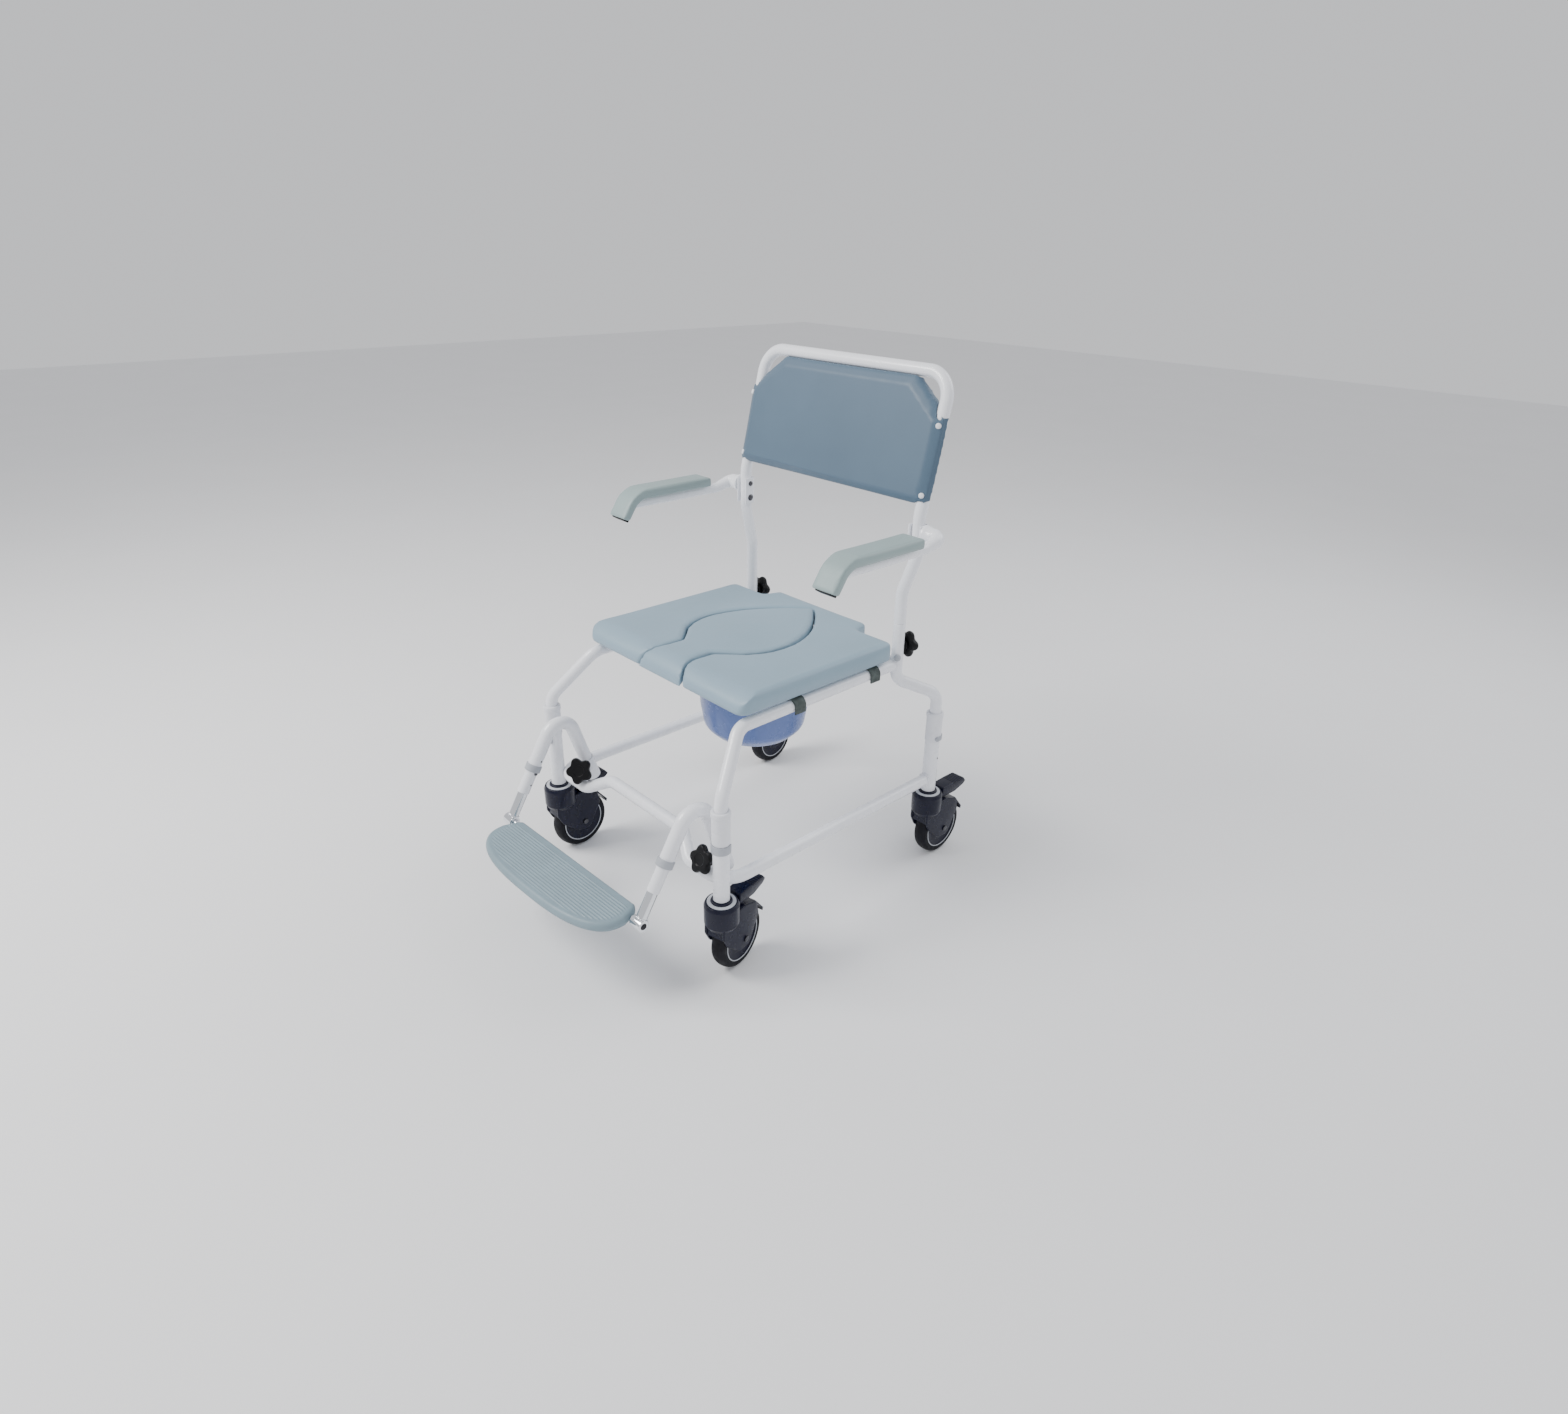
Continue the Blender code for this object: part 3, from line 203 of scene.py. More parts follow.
def slab(outline, low, high, edge, frame3=None, steps=4):
    """A closed outline carried from low to high, drawn in near both faces along a quarter circle:
    inset edge times (1 - sin), height edge times (1 - cos)."""
    outline = np.asarray(outline, float)
    x, y = outline.T
    if np.sum(x * np.roll(y, -1) - y * np.roll(x, -1)) < 0:
        outline = outline[::-1]
    forward = np.roll(outline, -1, 0) - outline
    back = outline - np.roll(outline, 1, 0)
    forward /= np.linalg.norm(forward, axis=1)[:, None] + 1e-12
    back /= np.linalg.norm(back, axis=1)[:, None] + 1e-12
    tangent = forward + back
    tangent /= np.linalg.norm(tangent, axis=1)[:, None] + 1e-12
    inward = np.stack([-tangent[:, 1], tangent[:, 0]], -1)
    t = np.linspace(0, np.pi / 2, steps + 1)
    inset = np.concatenate([edge * (1 - np.sin(t)), edge * (1 - np.sin(t))[::-1]])
    height = np.concatenate([low + edge * (1 - np.cos(t)), (high - edge * (1 - np.cos(t)))[::-1]])
    flat = outline[None] + inward[None] * inset[:, None, None]
    points = np.concatenate([flat, np.broadcast_to(height[:, None, None], (*flat.shape[:2], 1))], -1)
    rows, count = points.shape[:2]
    faces = grid_faces(rows, count)
    faces += [list(range(count))[::-1], list(range((rows - 1) * count, rows * count))]
    points = points.reshape(-1, 3)
    if frame3 is not None:
        points = points @ np.asarray(frame3, float)
    return points, faces


# Rows give where an outline's first and second coordinate and its height go: here to y, z and x.
ACROSS = ((0, 1, 0), (0, 0, 1), (1, 0, 0))


def dome(origin, axis, radius, height, sides=32, flange=0.0):
    """A round cap: a quarter ellipse of the given radius and height spun round its axis."""
    t = np.linspace(0, np.pi / 2, 8)
    profile = [(0.0, -0.0015), (radius, -0.0015)]
    profile += list(zip(radius * np.cos(t), height * np.sin(t) + flange))
    return turned(profile, origin, axis, sides)


def bead(origin, axis, radius, thick=0.0017, sides=96):
    """A weld bead: a small circle spun round the axis, its radius rippled by a sine of the angle."""
    t = np.linspace(0, 2 * np.pi, 12, endpoint=False)
    profile = np.stack([radius + thick * np.cos(t), thick * np.sin(t)], -1)
    ripple = lambda p, a: 1 + 0.020 * np.sin(18 * a)[None] * np.ones((len(p), 1))
    return turned(profile, origin, axis, sides, closed=True, lobes=ripple)


def hex_head(origin, axis, radius, height):
    """A hexagonal bolt head: its radius falls off between corners as a regular hexagon's does."""
    profile = rounded([(0, 0), (radius, 0), (radius, height), (0, height)], [0.0002, 0.0006], 30)
    flats = lambda p, a: np.ones((len(p), 1)) * (0.866 / np.cos((a % (np.pi / 3)) - np.pi / 6))[None]
    return turned(profile, origin, axis, 60, lobes=flats)


def spun(shape, yaw, x=0.0, y=0.0):
    """A shape turned by yaw degrees about the vertical, then moved to x, y."""
    a = np.radians(yaw)
    turn = np.array([[np.cos(a), np.sin(a), 0], [-np.sin(a), np.cos(a), 0], [0, 0, 1]])
    return shape[0] @ turn + [x, y, 0], shape[1]


def moved(shape, by):
    """A shape carried along a vector."""
    return shape[0] + by, shape[1]


def ring_wall(inner, outer, low, high, fillet, step=22):
    """Profile of a plain ring: a rectangle from inner to outer radius with rounded corners."""
    return rounded([(inner, low), (outer, low), (outer, high), (inner, high)], fillet, step, closed=True)


def skin(node, shape, finish, body, slot, **more):
    """The finished surface that stands in for one CAD node."""
    return piece(f"{node}_skin", shape, finish, body, node, slot, **more)


def piece(name, shape, finish, body, nodes=(), slot=None, sharp=38.0):
    """Put a shape into the scene as a closed, smooth mesh that rides on a body."""
    points, faces = shape
    mesh = bpy.data.meshes.new(name)
    mesh.from_pydata((points + LINE).tolist(), [], faces)
    bm = bmesh.new()
    bm.from_mesh(mesh)
    bmesh.ops.remove_doubles(bm, verts=bm.verts, dist=2e-6)
    bmesh.ops.dissolve_degenerate(bm, edges=bm.edges, dist=1e-7)
    bmesh.ops.recalc_face_normals(bm, faces=bm.faces)
    bm.to_mesh(mesh)
    bm.free()
    mesh.shade_smooth()
    mesh.set_sharp_from_angle(angle=np.radians(sharp))
    made = bpy.data.objects.new(name, mesh)
    bpy.context.scene.collection.objects.link(made)
    mesh.materials.append(finish_of(finish))
    settle(made, body, nodes)
    return made


def settle(made, body, nodes=()):
    if nodes:
        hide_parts(*([nodes] if isinstance(nodes, str) else nodes))
    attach(made, body)


# Finishes ----------------------------------------------------------------------------------------

def start_material(name):
    made = bpy.data.materials.new(name)
    made.use_nodes = True
    tree = made.node_tree
    shader = tree.nodes["Principled BSDF"]
    place = tree.nodes.new("ShaderNodeTexCoord").outputs["Object"]
    return made, tree, shader, place


def noise(tree, place, scale, detail=3.0, stretch=None, roughness=0.55):
    if stretch:
        mapping = tree.nodes.new("ShaderNodeMapping")
        mapping.inputs["Scale"].default_value = stretch
        tree.links.new(place, mapping.inputs["Vector"])
        place = mapping.outputs["Vector"]
    node = tree.nodes.new("ShaderNodeTexNoise")
    node.inputs["Scale"].default_value = scale
    node.inputs["Detail"].default_value = detail
    node.inputs["Roughness"].default_value = roughness
    tree.links.new(place, node.inputs["Vector"])
    return node.outputs["Fac"]


def spread(tree, value, low, high, start=0.3, end=0.7):
    node = tree.nodes.new("ShaderNodeMapRange")
    node.inputs["From Min"].default_value = start
    node.inputs["From Max"].default_value = end
    node.inputs["To Min"].default_value = low
    node.inputs["To Max"].default_value = high
    tree.links.new(value, node.inputs["Value"])
    return node.outputs["Result"]


def tint(tree, shader, value, colour, change):
    """Base colour that goes from darker to lighter than the given colour with the value."""
    node = tree.nodes.new("ShaderNodeMix")
    node.data_type = "RGBA"
    node.inputs[6].default_value = (*[c * (1 - change) for c in colour], 1)
    node.inputs[7].default_value = (*[min(1.0, c * (1 + change)) for c in colour], 1)
    tree.links.new(value, node.inputs[0])
    tree.links.new(node.outputs[2], shader.inputs["Base Color"])
    return node


def relief(tree, shader, heights):
    """Bump from (height value, depth in metres, strength) layers, one over another."""
    normal = None
    for value, depth, strength in heights:
        node = tree.nodes.new("ShaderNodeBump")
        node.inputs["Strength"].default_value = strength
        node.inputs["Distance"].default_value = depth
        tree.links.new(value, node.inputs["Height"])
        if normal:
            tree.links.new(normal, node.inputs["Normal"])
        normal = node.outputs["Normal"]
    tree.links.new(normal, shader.inputs["Normal"])


def weathered(name, colour, clouds, change, gloss, bumps, inputs, window=(0.3, 0.7)):
    """A finish whose colour drifts with one noise and whose roughness runs from low to high with
    another.  Bumps are (noise settings, depth, strength) layers, and inputs the shader's own."""
    made, tree, shader, place = start_material(name)
    tint(tree, shader, spread(tree, noise(tree, place, *clouds), 0, 1, *window), colour, change)
    scale, detail, low, high = gloss
    tree.links.new(spread(tree, noise(tree, place, scale, detail), low, high), shader.inputs["Roughness"])
    relief(tree, shader, [(noise(tree, place, *n), depth, strength) for n, depth, strength in bumps])
    for label, value in inputs.items():
        shader.inputs[label].default_value = value
    return made


def powder_coat(name, colour):
    """Gloss powder coat: fine orange peel under a clear film, with a faint cloudiness."""
    return weathered(name, colour, (14, 4), 0.012, (60, 4, 0.24, 0.30), [((420, 2), 0.00004, 0.15)],
                     {"Coat Weight": 0.35, "Coat Roughness": 0.08})


def moulded(name, colour, low, high, grain=900.0, depth=0.00005, change=0.06, shine=0.5):
    """Injection moulded plastic: spark-eroded grain and slightly uneven sheen."""
    bumps = [((35, 2), 0.0003, 0.12), ((grain, 2), depth, 0.5)]
    return weathered(name, colour, (22, 5), change, (75, 5, low, high), bumps, {"Specular IOR Level": shine})


def chrome_plate(name, colour):
    """Bright plating with hairline polishing marks and faint smudges."""
    return weathered(name, colour, (30, 5), 0.04, (90, 6, 0.05, 0.17),
                     [((60, 3, (1, 22, 22)), 0.00002, 0.25)], {"Metallic": 1.0})


def tyre_rubber(name, colour):
    """Dull rubber with a scuffed, dusty surface."""
    bumps = [((700, 3), 0.00012, 0.5), ((60, 4), 0.0004, 0.15)]
    return weathered(name, colour, (55, 8, None, 0.7), 0.45, (130, 6, 0.45, 0.72), bumps,
                     {"Specular IOR Level": 0.25}, (0.4, 0.75))


def cloudy_plastic(name, colour):
    """Semi-clear moulded plastic that lets a little light through."""
    return weathered(name, colour, (8, 3), 0.04, (40, 3, 0.22, 0.30), [((300, 2), 0.00006, 0.3)],
                     {"Transmission Weight": 0.15, "IOR": 1.45})


def foam_skin(name, colour):
    """Self-skinned foam: soft leather-like pebbling in a satin skin, with slow colour drift."""
    made, tree, shader, place = start_material(name)
    tint(tree, shader, spread(tree, noise(tree, place, 5, 4), 0, 1), colour, 0.055)
    tree.links.new(spread(tree, noise(tree, place, 40, 5), 0.40, 0.52), shader.inputs["Roughness"])
    cells = tree.nodes.new("ShaderNodeTexVoronoi")
    cells.feature = "SMOOTH_F1"
    cells.inputs["Scale"].default_value = 620.0
    tree.links.new(place, cells.inputs["Vector"])
    relief(tree, shader, [
        (noise(tree, place, 26, 2), 0.0012, 0.10),
        (cells.outputs["Distance"], 0.00012, 0.40),
    ])
    shader.inputs["Sheen Weight"].default_value = 0.12
    shader.inputs["Sheen Roughness"].default_value = 0.4
    shader.inputs["Specular IOR Level"].default_value = 0.42
    return made


# Near-black painted shade, put as small dark domes where there are holes.
HOLE_SHADE_COLOUR = (0.01, 0.01, 0.015)
# Each finish's maker, its colour in ChairColours and the maker's other settings.
FINISHES = {
    "frame coat": (powder_coat, "frame"),
    "bush plastic": (moulded, "bush", 0.26, 0.38, 900.0, 0.00005, 0.03),
    "grey plastic": (moulded, "collar", 0.35, 0.5),
    "knob plastic": (moulded, "knob", 0.28, 0.45, 700.0, 0.0001, 0.06, 0.25),
    "castor plastic": (moulded, "castor", 0.22, 0.38, 800.0, 0.00005, 0.12, 0.3),
    "castor ring": (moulded, "ring", 0.35, 0.5),
    # Castor ring colours the grey rings on the castors' caps and the painted highlight rings on the wheels'
    # sides.
    "tyre rubber": (tyre_rubber, "tyre"),
    "clip rubber": (tyre_rubber, "clip"),
    "bolt steel": (chrome_plate, "bolt"),
    "chrome": (chrome_plate, "chrome"),
    "pan plastic": (cloudy_plastic, "pan"),
    "plate plastic": (moulded, "plate", 0.42, 0.58, 600.0, 0.00008),
    "shadow hole": (moulded, None, 0.6, 0.8),
    "seat skin": (foam_skin, "seat"),
    "arm skin": (foam_skin, "arm"),
    "back skin": (foam_skin, "back"),
}


def finish_of(name):
    """The named finish, made the first time that it is asked for."""
    found = bpy.data.materials.get(name)
    if found:
        return found
    maker, key, *settings = FINISHES[name]
    colour = getattr(bpy.context.scene.chair_colours, key) if key else HOLE_SHADE_COLOUR
    return maker(name, colour, *settings)


class ChairColours(bpy.types.PropertyGroup):
    """The finishes' base colours."""

    def colour(label, text, value):
        return bpy.props.FloatVectorProperty(
            name=label, description=text, default=value, subtype="COLOR", size=3, min=0.0, max=1.0
        )

    frame: colour("Frame", "Powder coat of the tubular frame", (0.88, 0.89, 0.93))
    bush: colour("Bushes", "Plastic bushes of the telescoping legs", (0.80, 0.81, 0.85))
    collar: colour("Collars", "Height locks and hanger collars", (0.40, 0.42, 0.46))
    knob: colour("Knobs", "Star knobs", (0.002, 0.002, 0.003))
    castor: colour("Castor", "Castor caps, forks and pedals", (0.002, 0.003, 0.016))
    tyre: colour("Tyre", "Castor tyres", (0.002, 0.002, 0.006))
    # Ring also colours the light rings on the wheels' sides, which are a painted highlight of the wheel covers'
    # edges.
    ring: colour("Ring", "Light rings on the castors", (0.50, 0.52, 0.56))
    clip: colour("Clips", "Seat clips", (0.085, 0.105, 0.10))
    bolt: colour("Bolts", "Blackened bolts", (0.10, 0.10, 0.11))
    chrome: colour("Chrome", "Footrest tubes and rod", (0.78, 0.80, 0.83))
    pan: colour("Pan", "Commode pan", (0.15, 0.22, 0.50))
    plate: colour("Footplate", "Ribbed footplate", (0.21, 0.29, 0.335))
    seat: colour("Seat", "Foam skin of the seat", (0.255, 0.36, 0.44))
    arm: colour("Arm rests", "Foam skin of the arm rests", (0.29, 0.375, 0.375))
    back: colour("Back", "Foam skin of the back rest", (0.078, 0.128, 0.185))


class ChairSizes(bpy.types.PropertyGroup):
    """Sizes that shape the finish only."""

    tube_sides: bpy.props.IntProperty(
        name="Tube sides", description="Sides of every round tube", default=40, min=12, max=96
    )
    rib_pitch: bpy.props.FloatProperty(
        name="Rib pitch", description="Spacing of the footplate's ribs", default=0.0056, unit="LENGTH"
    )
    skin_voxel: bpy.props.FloatProperty(
        name="Skin voxel", description="Mesh size of the padded pieces", default=0.0040, unit="LENGTH"
    )


# Stage -------------------------------------------------------------------------------------------

class CHAIR_OT_stage(bpy.types.Operator):
    """Camera, soft studio light and a plain pale floor"""

    bl_idname = "chair.stage"
    bl_label = "Stage"

    def execute(self, context):
        scene = context.scene
        data = bpy.data.cameras.new("camera")
        camera = bpy.data.objects.new("camera", data)
        scene.collection.objects.link(camera)
        azimuth, elevation, roll = np.radians((46.252, 26.163, 1.282))
        back = np.array([
            np.sin(azimuth) * np.cos(elevation), -np.cos(azimuth) * np.cos(elevation), np.sin(elevation)
        ])
        right = np.array([np.cos(azimuth), np.sin(azimuth), 0.0])
        up = np.cross(back, right)
        level = np.stack([
            np.cos(roll) * right + np.sin(roll) * up, np.cos(roll) * up - np.sin(roll) * right, back
        ], -1)
        placed = np.eye(4)
        placed[:3, :3] = level
        placed[:3, 3] = np.array([1.2399, -0.8184, 1.1365]) + LINE
        camera.matrix_world = Matrix(placed.tolist())
        data.sensor_width = 36.0
        data.lens = 22.314
        data.clip_start = 0.02
        scene.camera = camera

        world = bpy.data.worlds.new("studio")
        world.use_nodes = True
        world.node_tree.nodes["Background"].inputs["Color"].default_value = (0.96, 0.97, 1.0, 1)
        world.node_tree.nodes["Background"].inputs["Strength"].default_value = 0.78
        scene.world = world
        lamps = (
            ("key", (-1.3, -1.9, 2.6), 1.5, 104.0, (1.0, 0.99, 0.97)),
            ("fill", (2.4, -1.0, 1.5), 2.0, 7.0, (0.92, 0.95, 1.0)),
            ("rim", (0.9, 2.2, 2.3), 1.8, 30.0, (0.95, 0.97, 1.0)),
        )
        for name, place, size, power, colour in lamps:
            light = bpy.data.lights.new(name, "AREA")
            light.size = size
            light.energy = power
            light.color = colour
            lamp = bpy.data.objects.new(name, light)
            scene.collection.objects.link(lamp)
            aim = Vector(place) - Vector((0, 0, 0.45))
            lamp.matrix_world = Matrix.Translation(place) @ aim.to_track_quat("Z", "Y").to_matrix().to_4x4()

        floor_mesh = bpy.data.meshes.new("floor")
        floor_mesh.from_pydata([(-9, -9, 0), (9, -9, 0), (9, 9, 0), (-9, 9, 0)], [], [(0, 1, 2, 3)])
        floor = bpy.data.objects.new("floor", floor_mesh)
        made, tree, shader, place = start_material("pale floor")
        tint(tree, shader, spread(tree, noise(tree, place, 3, 3), 0, 1), (0.86, 0.86, 0.87), 0.008)
        shader.inputs["Roughness"].default_value = 0.7
        shader.inputs["Specular IOR Level"].default_value = 0.2
        floor_mesh.materials.append(made)
        scene.collection.objects.link(floor)
        return {"FINISHED"}


# Base --------------------------------------------------------------------------------------------

class CHAIR_OT_base(bpy.types.Operator):
    """Base tube, legs, bushes and the footrest's sockets"""

    bl_idname = "chair.base"
    bl_label = "Base frame"

    def execute(self, context):
        sides = context.scene.chair_sizes.tube_sides
        z = float(bottom_of("base_tube") + BASE_RADIUS)
        half = [(LEG_X, REAR - 0.0125, z), (LEG_X, 0.006, z), (0.156, 0.006, z), (0.107, 0.032, 0.208)]
        path = rounded(half + [(-x, y, h) for x, y, h in half[::-1]], [0.052, 0.03, 0.03, 0.03, 0.03, 0.052])
        skin("base_tube", tube(path, BASE_RADIUS, sides), "frame coat", "base", "white_coat")
        welds = [bead((s * LEG_X, REAR - 0.0148, z), (0, 1, 0), 0.0120) for s, _ in SIDES]
        for s, _ in SIDES:
            welds.append(dome((s * 0.2386, 0.0108, z), (s * 0.667, -0.745, 0), 0.0062, 0.0012))
        piece("base_welds", joined(*welds), "frame coat", "base", slot="white_coat")
        for end, hand, s, y in CORNERS:
            node = f"leg_{end}_{hand}"
            low, high = bottom_of(node), top_of(node)
            wall = ring_wall(0.0125, 0.014, low, high, 0.0005, 30)
            skin(node, turned(wall, (s * LEG_X, y, 0), sides=sides, closed=True), "frame coat", "base",
                 "white_coat")
            turn = np.radians(65 if end == "front" else 10)
            out = np.array([s * np.cos(turn), np.sin(turn), 0.0])
            # A small near-black dome on the leg's wall in the shadow-hole finish: painted shade.
            pin = dome(np.array([s * LEG_X, y, 0.229]) + out * 0.0139, out, 0.0019, 0.0007)
            piece(f"{node}_pin", pin, "shadow hole", "base", slot="black_plastic")
            self.bush(end, hand, s, y)
        self.sockets()
        return {"FINISHED"}

    def bush(self, end, hand, s, y):
        """Sleeve, shallow seam and a raised ring on top, spun round the leg."""
        node = f"leg_bush_{end}_{hand}"
        low, high = bottom_of(node), top_of(node)
        seam = low + 0.0235
        profile = rounded(
            [
                (0.0142, low), (0.0153, low), (0.0153, seam - 0.0004), (0.0150, seam), (0.0153, seam + 0.0004),
                (0.0153, high - 0.0105), (0.0163, high - 0.0092), (0.0164, high - 0.0020), (0.0150, high),
                (0.0113, high), (0.0113, high - 0.012), (0.0142, high - 0.013),
            ],
            0.0008, 22, closed=True,
        )
        shape = turned(profile, (s * LEG_X, y, 0), sides=64, closed=True)
        skin(node, shape, "bush plastic", "base", "white_plastic")

    def sockets(self):
        up = unit(CROWN - FOOT)
        low = FOOT - up * 0.012
        for s, hand in SIDES:
            cup = rounded(
                [(0, 0.001), (0.0152, 0.001), (0.0152, 0.046), (0.0128, 0.046), (0.0128, 0.0105), (0, 0.0105)],
                0.0008, 22,
            )
            flip = np.array([s, 1, 1])
            cup = turned(cup, low * flip, up * flip, 56)
            reach = unit(GRIPS[s] - AIM * flip)
            boss = ring_wall(0.0043, 0.0075, 0.0132, 0.029, 0.0007)
            boss = turned(boss, AIM * flip, reach, 40, closed=True)
            lug = rounded([(-0.0065, 0), (0.0065, 0), (0.0065, 0.020), (-0.0065, 0.020)], 0.002, 22, True)
            lug = moved(slab(lug, 0.175, 0.189, 0.001), [s * 0.193, 0.0165, 0])
            weld = bead(AIM * flip + reach * 0.0150, reach, 0.0080, 0.0012)
            skin(f"hanger_socket_{hand}", joined(cup, boss, lug, weld), "frame coat", "base", "white_coat")


class CHAIR_OT_height_locks(bpy.types.Operator):
    """Snap-on collars and straps of the telescoping legs"""

    bl_idname = "chair.height_locks"
    bl_label = "Height locks"

    def execute(self, context):
        for end, hand, s, y in CORNERS:
            node = f"height_lock_{end}_{hand}"
            low, high = bottom_of(node), top_of(node)
            middle_deg = (-45.0 if s > 0 else -135.0) if end == "front" else 90.0 - s * 20.0
            inner, outer = (0.01425, 0.0166) if end == "front" else (0.0156, 0.0173)
            if end == "rear":
                low, high = low + 0.0003, low + 0.0093
            a = np.radians(middle_deg + np.linspace(-88, 88, 41))
            arc = np.stack([np.cos(a), np.sin(a)], -1)
            band = slab(np.concatenate([arc * outer, arc[::-1] * inner]), low, high, 0.0007)
            shapes = [band]
            if end == "rear":
                turn = np.radians(middle_deg - 90)
                across = np.array([np.cos(turn), np.sin(turn), 0])
                for way in (1, -1):
                    base = across * way * 0.0160 + np.array([0, 0, (low + high) / 2])
                    shapes.append(dome(base, across * way, 0.0048, 0.0022, flange=0.0012))
            shape = joined(*shapes)
            skin(node, moved(shape, [s * LEG_X, y, 0]), "grey plastic", f"lock_{end}_{hand}",
                 "grey_plastic")
        return {"FINISHED"}


class CHAIR_OT_castors(bpy.types.Operator):
    """Capped castors with hooded forks, wheels with painted highlight rings and brake pedals"""

    bl_idname = "chair.castors"
    bl_label = "Castors"

    trail = 0.040
    axle = 0.057

    def execute(self, context):
        for end, hand, s, y in CORNERS:
            corner = f"{end}_{hand}"
            put = lambda shape: spun(shape, YAWS[corner], s * LEG_X, y)
            body = f"castor_{corner}"
            skin(f"castor_housing_{corner}", put(self.housing()), "castor plastic", body, "castor_plastic")
            ring = rounded([(0.0152, 0.1500), (0.0245, 0.1500), (0.0240, 0.1526), (0.0158, 0.1532)], 0.0007, 22,
                           closed=True)
            piece(f"castor_ring_{corner}", put(turned(ring, closed=True)), "castor ring", body,
                  slot="grey_plastic")
            nuts = [
                hex_head((w * 0.0205, self.trail, self.axle), (w, 0, 0), 0.0058, 0.0032) for w in (1, -1)
            ]
            piece(f"castor_nuts_{corner}", put(joined(*nuts)), "bolt steel", body, slot="chrome")
            wheel = f"wheel_{corner}"
            piece(f"castor_tyre_{corner}", put(self.tyre()), "tyre rubber", wheel, f"castor_wheel_{corner}",
                  "tyre_rubber")
            piece(f"castor_rim_{corner}", put(self.rim()), "castor plastic", wheel, slot="castor_plastic")
            # The light grey rings on the wheel's sides are a painted highlight of the edge of the wheel's
            # cover.
            piece(f"castor_stripe_{corner}", put(self.stripe()), "castor ring", wheel, slot="grey_plastic")
            skin(f"brake_pedal_{corner}", put(self.pedal()), "castor plastic", f"pedal_{corner}",
                 "castor_plastic")
        return {"FINISHED"}

    def housing(self):
        """Spun cap and stem, two rounded cheeks and a bridge that follows the wheel above it."""
        cap = rounded(
            [(0, 0.1045), (0.0255, 0.1045), (0.0272, 0.1085), (0.0295, 0.1120), (0.0297, 0.1455),
             (0.0272, 0.1515), (0.0190, 0.1515), (0.0175, 0.1562), (0.0119, 0.1562),
             (0.0119, 0.1755), (0, 0.1755)],
            0.0018, 18,
        )
        outline = rounded(
            [(-0.0205, 0.126), (-0.0215, 0.092), (-0.0105, 0.071), (0.0235, 0.0405), (0.051, 0.0395),
             (0.0665, 0.066), (0.079, 0.088), (0.073, 0.1152), (0.041, 0.1255)],
            [0.004, 0.012, 0.016, 0.013, 0.013, 0.03, 0.012, 0.008, 0.010], 8, closed=True,
        )
        cheeks = [slab(outline, w, w + 0.0052, 0.0021, ACROSS) for w in (0.0157, -0.0209)]
        a = np.radians(np.linspace(20, 150, 30))
        under = np.stack([self.trail + 0.0603 * np.cos(a), self.axle + 0.0603 * np.sin(a)], -1)
        over = rounded([under[-1] - [0.006, 0.0], (-0.0200, 0.126), (0.041, 0.1253), (0.073, 0.1150),
                        under[0] + [0.002, 0.006]], [0.003, 0.006, 0.007], 12)
        bridge = slab(np.concatenate([under, over]), -0.0165, 0.0165, 0.0003, ACROSS)
        return joined(turned(cap, sides=72), *cheeks, bridge)

    def about_axle(self, profile, closed=True, sides=96):
        return turned(profile, (0, self.trail, self.axle), (1, 0, 0), sides, closed=closed)

    def tyre(self):
        """A crowned tread between rounded shoulders, spun round the axle."""
        t = np.linspace(0, np.pi, 25)
        wall = np.stack([0.0490 + 0.0080 * np.sin(t) ** 0.75, 0.0138 * np.cos(t)], -1)
        inner = [(0.0440, -0.0132), (0.0428, -0.0100), (0.0428, 0.0100), (0.0440, 0.0132)]
        return self.about_axle(np.concatenate([wall, np.array(inner)]))

    def rim(self):
        """Dished disc with a stepped hub."""
        side = [(0.0060, 0.0140), (0.0125, 0.0140), (0.0140, 0.0118), (0.0300, 0.0098), (0.0405, 0.0112),
                (0.0430, 0.0134)]
        profile = rounded(side + [(r, -x) for r, x in side[::-1]], 0.0012, 20, closed=True)
        return self.about_axle(profile)

    def stripe(self):
        """A raised ring of elliptical section on each side of the rim, coloured light grey as a painted
        highlight of the wheel cover's edge.
        """
        t = np.linspace(0, 2 * np.pi, 14, endpoint=False)
        rings = [
            self.about_axle(np.stack([0.0425 + 0.0009 * np.cos(t), w * 0.0134 + 0.0007 * np.sin(t)], -1))
            for w in (1, -1)
        ]
        return joined(*rings)

    def pedal(self):
        """A rounded side outline with a rippled tread on top, carried across the pedal's width."""
        y = np.linspace(0.030, 0.062, 60)
        ripple = 0.0007 * np.maximum(0, np.sin((y - 0.030) * 1180))
        tread = np.stack([y, 0.0114 - (y - 0.030) * 0.035 + ripple], -1)
        front = rounded(
            [(0.035, -0.011), (-0.0055, -0.0090), (-0.0055, 0.0115), (0.029, 0.0115)], [0.003, 0.004], 15
        )
        tip = rounded(
            [(0.063, 0.0102), (0.0705, 0.0015), (0.062, -0.0045), (0.045, -0.0085)], [0.003, 0.006], 15
        )
        outline = np.concatenate([front, tread, tip]) + [0.037, 0.138]
        return slab(outline, -0.0150, 0.0150, 0.0020, ACROSS)


# Seat frame and back -----------------------------------------------------------------------------

